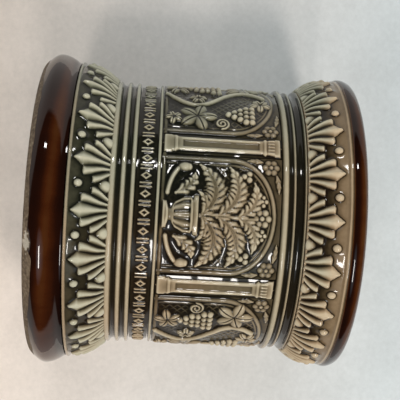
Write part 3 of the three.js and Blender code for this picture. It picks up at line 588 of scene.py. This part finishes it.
def ornament_relief(x, y, pitch):
    """Open lozenges, and pairs of rounded bars half a pitch away; y is up from the strip's middle."""
    x = np.abs(x)
    lozenge = dome(x / 1.5 + np.abs(y) / 2.0 - 0.72, 0.34)
    bar = dome(pitch / 2 - x - 0.7, 0.36)
    return np.maximum(lozenge, 0.85 * bar * smoothstep(2.4, 2.05, np.abs(y)))


def pressed_strip(name, node, turns, height, ground, back, relief, thin):
    """A strip or plate bent round the wall: its relief stands out from a round ground."""
    low, high = height[0], height[-1]
    relief = glazed(relief, 6) + hand_waves(turns, height)
    radius = np.hstack([ground + relief, np.full((len(turns), 2), back)])
    levels = np.broadcast_to(np.r_[height, high, low], radius.shape)
    thin = np.hstack([thin, np.full((len(turns), 2), 0.1)])
    # The glaze is browner on the side facing +X: partly real, partly painted warm light
    layers = {"thin": thin, "browned_and_warm_light": 0.2 + 0.18 * np.sin(turns)}
    skin = around(turns, radius, levels)
    clay_piece(name, skin, False, "jar", node, OLIVE_GLAZE, layers)


ornament_pitch = 2 * math.pi / ORNAMENT_COUNT
ornament_height = np.linspace(ORNAMENT_LOW, ORNAMENT_HIGH, 36)
for half in (0, 1):
    start = 12.25 * ornament_pitch + half * math.pi + math.pi
    turns = start + np.linspace(0, math.pi, 800)[:, None]
    place = turns / ornament_pitch
    across = (place - np.round(place)) * ornament_pitch * ORNAMENT_RADIUS
    up = ornament_height - (ORNAMENT_LOW + ORNAMENT_HIGH) / 2
    relief = ORNAMENT_RELIEF * ornament_relief(across, up, ornament_pitch * ORNAMENT_RADIUS)
    pressed_strip(
        f"ornament_{half + 1}", f"ornament_strip_{half + 1}", turns, ornament_height,
        ORNAMENT_RADIUS, STRIP_BACK, relief, pooled(relief, ground=0.11, rise=0.34, full=0.8),
    )


# Frieze pilasters
# Narrow pressed plates between the panels.
# Each has a plinth, a flat shaft with a sunk panel, and a leaf capital.
FRIEZE_RADIUS, FRIEZE_LOW, FRIEZE_HIGH, FRIEZE_STEP = 50.8, 46.7, 89.8, 0.22
PANEL_COUNT, PILASTER_WIDTH = 6, 8.0
FRIEZE_TALL = FRIEZE_HIGH - FRIEZE_LOW
FRIEZE_PITCH = 2 * math.pi / PANEL_COUNT


def plate(width):
    """Angles and heights of a frieze plate's grid, and the millimetres of each point across from the
    plate's middle and up from its foot."""
    x = np.linspace(-width / 2, width / 2, int(width / FRIEZE_STEP) + 1)
    y = np.linspace(0, FRIEZE_TALL, int(FRIEZE_TALL / FRIEZE_STEP) + 1)
    return (x / FRIEZE_RADIUS)[:, None], y + FRIEZE_LOW, *np.meshgrid(x, y, indexing="ij")


def pilaster_relief(x, y):
    """Stacked flat bars with round edges: their half width is a line up the pilaster, from the plinth to
    the capital. The shaft has a sunk panel."""
    top = FRIEZE_TALL
    levels = [0.5, 0.6, 3.4, 3.5, 4.6, 5.2, 6.2, 36, 36.8, 37.2, 38]
    levels = levels + [top - 2.6, top - 2.5, top - 0.6, top - 0.5]
    halves = [0.1, 3.8, 3.8, 3.4, 3.4, 3.0, 2.9, 2.8, 3.4, 3.4, 3.0, 3.5, 3.8, 3.8, 0.1]
    half = np.interp(y, levels, halves)
    body = dome(np.clip(np.abs(x) - half + 0.5, 0, 0.5), 0.5)
    sunk = 0.4 * smoothstep(1.7, 1.2, np.abs(x)) * smoothstep(6.8, 7.6, y) * smoothstep(35.4, 34.6, y)
    ring = 0.35 * (dome(y - 4.9, 0.6) + dome(y - 37, 0.55)) * (body > 0)
    leaf = 0.45 * smoothstep(37.8, 38.4, y) * smoothstep(top - 2.4, top - 3, y) * np.cos(x * 2.4) ** 2
    return 1.2 * body - sunk + ring + leaf * (body > 0)


pilaster_turns, pilaster_height, pilaster_x, pilaster_y = plate(PILASTER_WIDTH)
relief = pilaster_relief(pilaster_x, pilaster_y)
pilaster_thin = pooled(relief, ground=0.3, rise=0.3, full=1.2)
for i in range(PANEL_COUNT):
    turns = pilaster_turns + (i + 0.5) * FRIEZE_PITCH
    pressed_strip(
        f"pilaster_{i + 1}", f"frieze_pilaster_{i + 1}", turns, pilaster_height,
        FRIEZE_RADIUS, STRIP_BACK, relief, pilaster_thin,
    )


# Frieze panels
# Pressed plates with low pictures under a round arch.
# They show, by turns, a plant in a fluted urn and a fruiting vine.
PANEL_GAPS = 0.6
PANEL_WIDTH = FRIEZE_PITCH * FRIEZE_RADIUS - PILASTER_WIDTH - PANEL_GAPS
VEIN_PITCH, TRELLIS_PITCH = 2.4, 2.9


def nearest_on(x, y, path):
    """For each point, the share along a path of points that lies nearest, and the distance to it."""
    best = np.full(x.shape, np.inf)
    share = np.zeros(x.shape)
    for k, (px, py) in enumerate(path):
        distance = np.hypot(x - px, y - py)
        closer = distance < best
        best = np.where(closer, distance, best)
        share = np.where(closer, k / (len(path) - 1), share)
    return share, best


def bent(start, bend, end, count=50):
    """Points of a quadratic curve from start to end, pulled towards bend."""
    t = np.linspace(0, 1, count)[:, None]
    return (1 - t) ** 2 * np.array(start) + 2 * t * (1 - t) * np.array(bend) + t**2 * np.array(end)


def blade_leaf(x, y, start, bend, end, width):
    """A long leaf on a bent midrib: two rounded halves with a scalloped edge, cut by slanting veins."""
    path = bent(start, bend, end)
    share, distance = nearest_on(x, y, path)
    along = share * np.hypot(*np.diff(path, axis=0).T).sum()
    half = width / 2 * np.sin(math.pi * np.clip(share, 0.02, 0.98) ** 0.8) ** 0.75
    half = half * (1 + 0.1 * np.cos(2 * math.pi * along / VEIN_PITCH)) + 1e-3
    out = np.clip(distance / half, 0, 1)
    pillow = (0.62 + 0.38 * np.sin(math.pi * out**0.8)) * (1 - out**5)
    slanting = 0.5 + 0.5 * np.cos(2 * math.pi * (along - 0.8 * distance) / VEIN_PITCH)
    veins = 0.3 * slanting**2 * smoothstep(0.1, 0.3, out)
    return np.maximum((pillow - veins) * (distance < half), 0.85 * dome(distance, 0.45) * (half > 0.3))


def folded(x, y, centre, turn, count):
    """Places seen from a centre, along and across the nearest of count rays, the first one at turn."""
    dx, dy = x - centre[0], y - centre[1]
    step = 2 * math.pi / count
    angle = np.arctan2(dy, dx) - turn
    angle = angle - step * np.round(angle / step)
    reach = np.hypot(dx, dy)
    return reach * np.cos(angle), reach * np.sin(angle)


def lobed_leaf(x, y, centre, turn, size):
    """A five-lobed leaf: a rounded lobe with a cut rib along each of five rays, over a round middle."""
    along, across = folded(x, y, centre, turn, 5)
    lobes = dome(np.hypot((along - 0.5 * size) / 0.55, across / 0.34), size)
    rib = 0.3 * dome(across, 0.3) * (lobes > 0)
    middle = 0.75 * dome(np.hypot(along, across), 0.5 * size)
    return np.maximum(0.95 * lobes**0.8, middle) - rib


def rosette(x, y, centre, size, count):
    """A flower of round petals round a boss."""
    along, across = folded(x, y, centre, math.pi / 2, count)
    petals = 0.8 * dome(np.hypot(along - 0.62 * size, across), 0.4 * size)
    return np.maximum(petals, 1.05 * dome(np.hypot(along, across), 0.3 * size))


def berries(x, y, top, rows, size):
    """A hanging bunch: rows of round berries, each row set half a berry aside."""
    bunch = np.zeros(x.shape)
    for row, count in enumerate(rows):
        for k in range(count):
            px = top[0] + (k - (count - 1) / 2) * 1.8 * size
            reach = np.hypot(x - px, y - top[1] + row * 1.55 * size)
            bunch = np.maximum(bunch, 1.15 * dome(reach, size))
    return bunch


def arch_relief(x, y):
    """Jambs and a round arch as a double moulding over a sill, with a trellis inside it, and a flower
    with leaves in each corner. ring is about the millimetres out from the moulding."""
    across, rise, spring, scale = 20.6, 15.2, 25.5, 17
    arch, jamb = np.hypot(x / across, (y - spring) / rise), np.abs(x) / across
    ring = (np.where(y > spring, arch, jamb) - 1) * scale
    moulding = np.maximum(0.6 * dome(ring, 0.85), 0.4 * dome(ring + 1.6, 0.45))
    slant = np.stack([x + y, x - y]) / TRELLIS_PITCH
    laths = dome(np.abs(slant - np.round(slant)) * TRELLIS_PITCH, 0.45)
    trellis = 0.22 * np.max(laths, axis=0) * (ring < -1.9)
    corner = 0.8 * rosette(np.abs(x), y, (18.7, 39.2), 3.1, 6)
    sprig = 0.6 * blade_leaf(np.abs(x), y, (20.6, 36.2), (21.2, 33.5), (20.9, 30.5), 2.2)
    bud = 0.6 * blade_leaf(np.abs(x), y, (15.8, 41.2), (12.5, 42.3), (9, 42.2), 2.0)
    sill = 0.6 * dome(y - 0.8, 0.8)
    return np.max([moulding, trellis, corner, sprig, bud, sill], axis=0)


def plant_relief(x, y):
    """A leafy plant with flowers and fruit in a fluted urn, a clay pipe leaning at each side."""
    side_x = np.abs(x)
    levels = [0.9, 1.0, 2.2, 3.0, 4.0, 5.4, 8.4, 10.8, 11.6, 12.2, 13.6, 13.7]
    half = np.interp(y, levels, [0.1, 5.0, 4.7, 2.2, 2.2, 4.8, 6.6, 6.7, 5.4, 7.2, 7.2, 0.1])
    round_x = np.arcsin(np.clip(x / half, -1, 1))
    flutes = 0.16 * (1 - np.cos(round_x * 12)) * (np.abs(y - 7.9) < 3) * (side_x < half)
    rings = 0.25 * (dome(y - 11.3, 0.5) + dome(y - 2.6, 0.5)) * (side_x < half)
    shapes = [1.25 * dome(x, half) ** 0.6 * (half > 0.2) - flutes + rings]
    shapes.append(0.85 * dome(x - 0.5 * np.sin(y / 4), 0.8) * (y > 13) * (y < 35))
    for start, bend, end, width in (
        ((0, 14.5), (8.5, 25.0), (18.2, 13.8), 9.6),
        ((0, 20.5), (7, 32.5), (17.8, 24.4), 8.8),
        ((0, 27.5), (3, 36.5), (12.4, 33.4), 6.6),
        ((0.5, 15), (4.6, 18.6), (8.8, 13.2), 4.0),
        ((7.6, 5.4), (10.5, 12.6), (15.2, 12.0), 5.6),
    ):
        shapes.append(blade_leaf(side_x, y, start, bend, end, width))
    shapes.append(berries(side_x, y, (14.6, 31.4), (2, 1), 1.15))
    pipe = nearest_on(side_x, y, bent((7.6, 2.4), (13, 3.2), (16.4, 6.0)))[1]
    shapes.append(0.9 * dome(pipe, 0.95))
    bowl = np.hypot((side_x - 17.2) / 1.75, (y - 8.4) / 2.7)
    shapes.append(1.2 * dome(bowl, 1) + 0.2 * dome(y - 10.4, 0.5) * (bowl < 1))
    shapes.append(rosette(x, y, (0, 36.4), 3.5, 6))
    shapes.append(rosette(side_x, y, (6.0, 36.2), 2.3, 5))
    return np.max(shapes, axis=0)


def vine_relief(x, y):
    """A winding vine with lobed leaves, bunches of berries and curling tendrils."""
    rise = np.linspace(1, 37.5, 90)
    sway = 6.4 * np.sin(2 * math.pi * (rise - 2.6) / 37)
    shapes = [dome(nearest_on(x, y, np.column_stack([sway, rise]))[1], 1.15)]
    for centre, turn, size in (
        ((13.0, 12.4), 0.35, 7.2), ((-12.6, 30.0), 2.8, 7.0), ((14.2, 3.6), -0.2, 3.4),
        ((-9.4, 5.4), 3.3, 5.2), ((3.4, 36.2), 1.2, 4.2), ((0.6, 12.8), 1.9, 3.6),
    ):
        shapes.append(lobed_leaf(x, y, centre, turn, size))
    shapes.append(berries(x, y, (-9.8, 21.0), (4, 4, 3, 3, 2, 1), 1.4))
    shapes.append(berries(x, y, (11.2, 32.6), (4, 4, 3, 2, 1), 1.4))
    for centre, side in (((16.4, 21.4), 1), ((-16.6, 15.6), -1)):
        wind = np.linspace(0, 3.6 * math.pi, 80)
        reach = 2.7 - 2.2 * wind / wind[-1]
        curl_x, curl_y = centre[0] + side * reach * np.cos(wind), centre[1] + reach * np.sin(wind)
        curl = np.column_stack([curl_x, curl_y])
        shapes.append(0.7 * dome(nearest_on(x, y, curl)[1], 0.55))
    return np.max(shapes, axis=0)


panel_turns, panel_height, panel_x, panel_y = plate(PANEL_WIDTH)
SETTING_RELIEF, PICTURE_RELIEF = 1.3, 1.85
panel_setting = SETTING_RELIEF * arch_relief(panel_x, panel_y)
pictures = [plant_relief(panel_x, panel_y), vine_relief(panel_x, panel_y)]
panel_reliefs = [np.maximum(panel_setting, PICTURE_RELIEF * picture) for picture in pictures]
thinner_up = smoothstep(6, 38, panel_y)
panel_ground, panel_rise = 0.12 + 0.24 * thinner_up, 0.35 - 0.1 * thinner_up
panel_thins = [pooled(relief, panel_ground, panel_rise, full=1.7) for relief in panel_reliefs]
for i in range(PANEL_COUNT):
    pressed_strip(
        f"panel_{i + 1}", f"frieze_panel_{i + 1}", panel_turns + i * FRIEZE_PITCH, panel_height,
        FRIEZE_RADIUS, STRIP_BACK, panel_reliefs[i % 2], panel_thins[i % 2],
    )


# Lip
# A thick rounded ring of brown-glazed clay on the outer part of the wall's top.
# The lid lies inside it.
lip_outside, _ = evenly(flowing([
    (57.4, 114.47), (57.95, 114.6), (58.35, 115.3), (58.45, 116.3), (58.2, 117.4),
    (57.7, 118.5), (56.9, 119.4), (55.8, 119.9), (54.5, 120.0), (53.0, 119.8),
    (51.7, 119.2), (50.85, 118.2), (50.55, 117.0), (50.5, 116.0),
], 8), 0.22)
lip_profile = np.vstack([lip_outside, [(50.5, 112.35), (55.0, 112.35), (55.0, 114.75)]])
lip_radius, lip_height = lip_profile.T
lip_thin = 0.18 + 0.55 * smoothstep(115.6, 118.4, lip_height) - 0.15 * smoothstep(55.0, 53.0, lip_radius)
lip_thin = np.maximum(lip_thin, 0.95 * smoothstep(115.3, 114.5, lip_height))
lip_bare = (np.arange(len(lip_profile)) >= len(lip_outside)).astype(float)
turned_piece(
    "lip_glazed", lip_profile, FOOT_TURNS,
    "jar", "rim_ring", BROWN_GLAZE, {"thin": lip_thin, "bare": lip_bare}, 60,
)


# Lid
# A dished plate let into the lip, with a plug in the mouth and a hollow under it for the moistening
# disc. A ring of the same pressed leaves goes round the knob, between two turned beads.
LID_TURNS = turn_angles(480)
LID_LEAVES, LID_RELIEF, LID_ROOT_RADIUS, LID_FIELD = 11, 1.2, 24.0, (23.2, 39.6)
lid_top, lid_along = evenly(flowing([
    (50.0, 113.55), (50.0, 116.0), (49.9, 117.6), (49.2, 118.15), (47.5, 118.2), (45.4, 118.15),
    (44.4, 117.9), (43.6, 117.2), (42.4, 116.95), (41.4, 117.2), (40.6, 116.9), (38, 116.8), (32, 116.4),
    (26, 116.0), (22.5, 115.9), (21.4, 116.35), (20.2, 116.6), (19.0, 116.35), (18.0, 115.75),
    (14, 115.65), (8.0, 115.6),
], 8), 0.25)
lid_rest = np.array([
    (8.0, 114.75), (0, 114.75), (0, 110.75), (29.9, 110.7), (30.0, 110.5), (30.0, 104.3),
    (30.4, 104.0), (42.5, 104.0), (43.3, 104.4), (43.5, 105.0), (43.5, 113.2), (43.7, 113.55),
])
lid_line = np.vstack([lid_top, lid_rest])
leaf_root = np.interp(-LID_ROOT_RADIUS, -lid_top[:, 0], lid_along)
leaf_turn = 2 * math.pi / LID_LEAVES
lid_place = LID_TURNS / leaf_turn
lid_across = (lid_place - np.round(lid_place)) * LEAF_PITCH * LEAF_SCALE_RADIUS
lid_gap = LEAF_PITCH / 2 * LEAF_SCALE_RADIUS - np.abs(lid_across)
lid_up = (leaf_root - lid_along)[None, :]
on_lid = (lid_top[:, 0] > LID_FIELD[0]) & (lid_top[:, 0] < LID_FIELD[1])
lid_relief = LID_RELIEF * leaf_relief(*np.broadcast_arrays(lid_across, lid_gap, lid_up)) * on_lid
lid_radius, lid_height = spun(lid_line, LID_TURNS)
lid_height[:, :len(lid_top)] += lid_relief
plain_radius, plain_height = [8, 18, 23, 38, 44, 50], [115.6, 115.7, 115.9, 116.8, 117.6, 117.9]
lid_plain = np.interp(lid_top[:, 0], plain_radius, plain_height)
bead_tops = smoothstep(0.0, 0.5, lid_top[:, 1] - lid_plain)
leafy = pooled(lid_relief, ground=0.25, rise=0.45, full=1.1)
lid_thin = np.full(lid_height.shape, 0.5)
lid_thin[:, :len(lid_top)] = np.where(on_lid, leafy, 0.25 + 0.55 * bead_tops)
clay_piece(
    "lid_glazed", around(LID_TURNS, lid_radius, lid_height), True,
    "lid", "lid_plate", OLIVE_GLAZE, {"thin": lid_thin, "browned_and_warm_light": 0.1}, 60,
)


# Knob
# A turned knob with a narrow neck, luted into a shallow seat in the lid.
# It is dipped in brown glaze, thinnest where it is widest.
knob_line, _ = evenly(flowing([
    (0, 130.0), (3, 129.75), (6, 129.05), (8.6, 127.9), (10.5, 126.4), (11.5, 124.6), (11.2, 122.9),
    (9.8, 121.5), (8.0, 120.5), (6.9, 119.6), (6.5, 118.6), (6.6, 117.6), (7.2, 116.8), (7.6, 116.2),
    (7.7, 115.1),
], 8), 0.25)
knob_loop = np.vstack([[(0, 115.0)], knob_line[::-1]])
knob_thin = 0.3 + 0.4 * np.exp(-(((knob_loop[:, 1] - 125.5) / 2.2) ** 2))
turned_piece(
    "knob_glazed", knob_loop, FLOOR_TURNS,
    "lid", "lid_knob", BROWN_GLAZE, {"thin": knob_thin, "bare": 0.0},
)


# Cork seal
# A flat ring cut from sheet cork, glued under the lid's edge.
# It lies on the wall's ledge and keeps the tobacco moist.
def cork_finish():
    """Sanded cork: warm brown granules with dark pores."""
    material, add = finish_material("cork")
    place = add("ShaderNodeTexCoord").outputs["Object"]
    granule = add("ShaderNodeTexVoronoi", {"Vector": place, "Scale": 900}).outputs["Distance"]
    pores = noise(add, place, 600, 4)
    colour = ramp(add, combined(add, "MULTIPLY", granule, pores), [
        (0.1, (0.5, 0.31, 0.15)),
        (0.35, (0.36, 0.2, 0.085)),
        (0.6, (0.1, 0.045, 0.02)),
    ])
    add("shader", {"Base Color": colour, "Normal": bumped(add, pores, 0.5, 0.0003), "Roughness": 0.85})
    return material


seal_loop = [
    (44.1, 112.15), (49.3, 112.15), (49.4, 112.25), (49.4, 113.4), (49.3, 113.5), (44.2, 113.5),
    (44.1, 113.4),
]
turned_piece("cork_seal", seal_loop, FLOOR_TURNS, "lid", "seal_ring", cork_finish())


# Moistening disc
# Porous unglazed clay, pressed into the hollow under the lid.
# It is wetted now and then.
def bare_clay():
    """Unglazed stoneware: pale grey-tan with darker grit."""
    material, add = finish_material("bare_clay")
    place = add("ShaderNodeTexCoord").outputs["Object"]
    grit = noise(add, place, 800, 6, 0.65)
    colour = ramp(add, grit, [
        (0.3, (0.2, 0.14, 0.095)),
        (0.5, (0.42, 0.32, 0.23)),
        (0.7, (0.55, 0.45, 0.34)),
    ])
    add("shader", {"Base Color": colour, "Normal": bumped(add, grit, 0.4, 0.0004), "Roughness": 0.9})
    return material


disc_loop = [
    (0, 104.8), (12, 104.8), (28.9, 104.8), (29.6, 105.4), (29.7, 106), (29.7, 110.2), (29.4, 110.4),
    (0, 110.4),
]
turned_piece(
    "moistening_disc_clay", disc_loop, FLOOR_TURNS, "lid", "moistening_disc", bare_clay(),
)


# Floor sheet
# Pale paper that the jar lies on in this view.
# It touches the foot and the lip, so it leans a little along the jar.
FLOOR_AT_FOOT, FOOT_TOUCH, FLOOR_LEAN = 62.1, 5.4, 0.0303
FLOOR_SIDES, FLOOR_ENDS = (-150, 160), (-900, 900)


def floor_y(z):
    """Where the sheet lies behind the jar at a height z, in millimetres."""
    return FLOOR_AT_FOOT - FLOOR_LEAN * (z - FOOT_TOUCH)


def pale_paper():
    """Matt, faintly mottled paper, clear from behind; its tint is painted light and shade, warm grey by
    the foot and cooler, darker by the lip.
    """
    material, add = finish_material("pale_paper")
    tree = material.node_tree
    place = add("ShaderNodeTexCoord").outputs["Object"]
    height = add("ShaderNodeSeparateXYZ", {"Vector": place}).outputs["Z"]
    # Painted light and shade: warmer by the foot, cooler and darker by the lip
    painted_light_tint = ramp(add, remapped(add, height, -0.045, 0.16), [
        (0.0, (0.69, 0.59, 0.52)),
        (0.45, (0.69, 0.65, 0.62)),
        (1.0, (0.52, 0.55, 0.56)),
    ])
    mottle = combined(add, "ADD", noise(add, place, 420, 5, 0.65), noise(add, place, 35, 3))
    light = remapped(add, mottle, 0.7, 1.3, 0.9, 1.06)
    paper = add("ShaderNodeVectorMath", {0: painted_light_tint, "Scale": light}, operation="SCALE").outputs[0]
    matt = add("shader", {"Base Color": paper, "Roughness": 0.9, "Specular IOR Level": 0.1}).outputs[0]
    clear = add("ShaderNodeBsdfTransparent").outputs[0]
    behind = add("ShaderNodeNewGeometry").outputs["Backfacing"]
    seen = add("ShaderNodeMixShader", {0: behind, 1: matt, 2: clear}).outputs[0]
    tree.links.new(seen, tree.nodes["Material Output"].inputs["Surface"])
    return material


sheet_mesh = bpy.data.meshes.new("floor_sheet")
sheet_corners = [(MM * x, MM * floor_y(z), MM * z) for z in FLOOR_ENDS for x in FLOOR_SIDES]
sheet_mesh.from_pydata(sheet_corners, [], [(0, 1, 3, 2)])
sheet_mesh.materials.append(pale_paper())
floor_sheet = bpy.data.objects.new("floor_sheet", sheet_mesh)
floor_sheet.visible_shadow = False
floor_sheet.visible_diffuse = False
bpy.context.scene.collection.objects.link(floor_sheet)


# Light
# Small lamps that the glaze mirrors as glints, and broad ones that it does not, stand round the jar.
# Two of the broad ones cast its shadow on the paper. The rest is even pale light from the room.
LAMP_DISTANCE, LAMP_AIM = 1.5, (0, 0, 0.06)


def lamp(name, direction, width, height, power, colour, mirrored=True):
    """An area light that faces the jar's middle from a direction; mirrored says if the glaze shows it."""
    data = bpy.data.lights.new(name, "AREA")
    data.shape = "RECTANGLE"
    data.size, data.size_y, data.energy, data.color = width, height, power, colour
    made = bpy.data.objects.new(name, data)
    made.visible_glossy = mirrored
    direction = np.array(direction) / np.linalg.norm(direction)
    side = np.cross([0, 0, 1], direction)
    side /= np.linalg.norm(side)
    turn = np.eye(4)
    turn[:3, 0], turn[:3, 1], turn[:3, 2] = side, np.cross(direction, side), direction
    turn[:3, 3] = np.array(LAMP_AIM) + LAMP_DISTANCE * direction
    made.matrix_world = turn.T.tolist()
    bpy.context.scene.collection.objects.link(made)


lamp("tube", (-0.685, -0.729, 0.0), 0.09, 0.35, 4, (1.0, 0.98, 0.96))
lamp("window", (0.568, -0.823, 0.05), 0.42, 0.13, 4.5, (1.0, 0.95, 0.9))
lamp("room_right", (0.568, -0.823, 0.3), 0.5, 0.2, 10.6, (1.0, 0.93, 0.86), mirrored=False)
lamp("room_left", (0.568, -0.823, -0.3), 0.5, 0.2, 4.9, (1.0, 0.93, 0.86), mirrored=False)
lamp("back_window", (0.3, 0.9, 0.35), 0.9, 0.7, 14, (1.0, 0.98, 0.95))
lamp("doorway", (0.1, -0.5, 0.86), 0.7, 0.7, 4, (0.95, 0.98, 1.0), mirrored=False)
lamp("ceiling", (-0.93, -0.35, 0.1), 0.8, 0.8, 5.5, (0.98, 0.98, 0.98), mirrored=False)


def room_light():
    """Even cool light on the clay. The glaze mirrors a dim room in front, a paler one at the sides and
    behind, and a soft bluish window; the view shows a pale backdrop."""
    world = bpy.data.worlds.new("room")
    world.use_nodes = True
    tree = world.node_tree
    add = adder(tree, tree.nodes["Background"])
    way = add("ShaderNodeTexCoord").outputs["Generated"]

    def glow(colour, towards, low, high, darkest, palest):
        """Light that grows from darkest to palest as the cosine to a direction goes from low to high."""
        near = add("ShaderNodeVectorMath", {0: way, 1: towards}, operation="DOT_PRODUCT").outputs["Value"]
        strength = remapped(add, near, low, high, darkest, palest)
        return add("ShaderNodeBackground", {"Color": colour, "Strength": strength}).outputs[0]

    even = add("shader", {"Color": (0.86, 0.98, 1.0, 1), "Strength": 0.4}).outputs[0]
    walls = glow((1.0, 0.94, 0.89, 1), (-0.24, 0.97, 0), -0.1, -0.02, 0.03, 0.5)
    window = glow((0.72, 0.87, 1.0, 1), (0.58, -0.81, 0.05), 0.92, 0.985, 0.0, 0.7)
    mirrored = add("ShaderNodeAddShader", {0: walls, 1: window}).outputs[0]
    backdrop = add("ShaderNodeBackground", {"Color": (0.78, 0.78, 0.77, 1)}).outputs[0]
    path = add("ShaderNodeLightPath").outputs
    in_glaze = add("ShaderNodeMixShader", {0: path["Is Glossy Ray"], 1: even, 2: mirrored}).outputs[0]
    in_view = add("ShaderNodeMixShader", {0: path["Is Camera Ray"], 1: in_glaze, 2: backdrop}).outputs[0]
    tree.links.new(in_view, tree.nodes["World Output"].inputs["Surface"])
    return world


bpy.context.scene.world = room_light()


# Camera
# It looks down on the lying jar, so the jar's top points right in the picture.
# Its lens is set for a square frame 400 pixels wide.
CAMERA_DISTANCE, CAMERA_HEIGHT, FOCAL_PIXELS = 366.2, 42.7, 893.8
CAMERA_TILT, CAMERA_ROLL, AXIS_DROP = math.radians(3.28), math.radians(3.17), 15.55
FRAME_PIXELS, SENSOR = 400, 36

camera_data = bpy.data.cameras.new("camera")
camera_data.sensor_width = SENSOR
camera_data.lens = FOCAL_PIXELS / FRAME_PIXELS * SENSOR
camera_data.clip_start = 0.01
camera = bpy.data.objects.new("camera", camera_data)
right = np.array([0, -math.sin(CAMERA_TILT), math.cos(CAMERA_TILT)])
forward = np.array([0, math.cos(CAMERA_TILT), math.sin(CAMERA_TILT)])
down = np.array([1.0, 0, 0])
lift = math.atan(AXIS_DROP / FOCAL_PIXELS)
level = forward
forward = math.cos(lift) * level - math.sin(lift) * down
down = math.cos(lift) * down + math.sin(lift) * level
picture_right = math.cos(CAMERA_ROLL) * right - math.sin(CAMERA_ROLL) * down
picture_down = math.sin(CAMERA_ROLL) * right + math.cos(CAMERA_ROLL) * down
pose = np.eye(4)
pose[:3, 0], pose[:3, 1], pose[:3, 2] = picture_right, -picture_down, -forward
pose[:3, 3] = [0, -CAMERA_DISTANCE * MM, CAMERA_HEIGHT * MM]
camera.matrix_world = pose.T.tolist()
bpy.context.scene.collection.objects.link(camera)
bpy.context.scene.camera = camera
bpy.context.scene.view_settings.view_transform = "Standard"
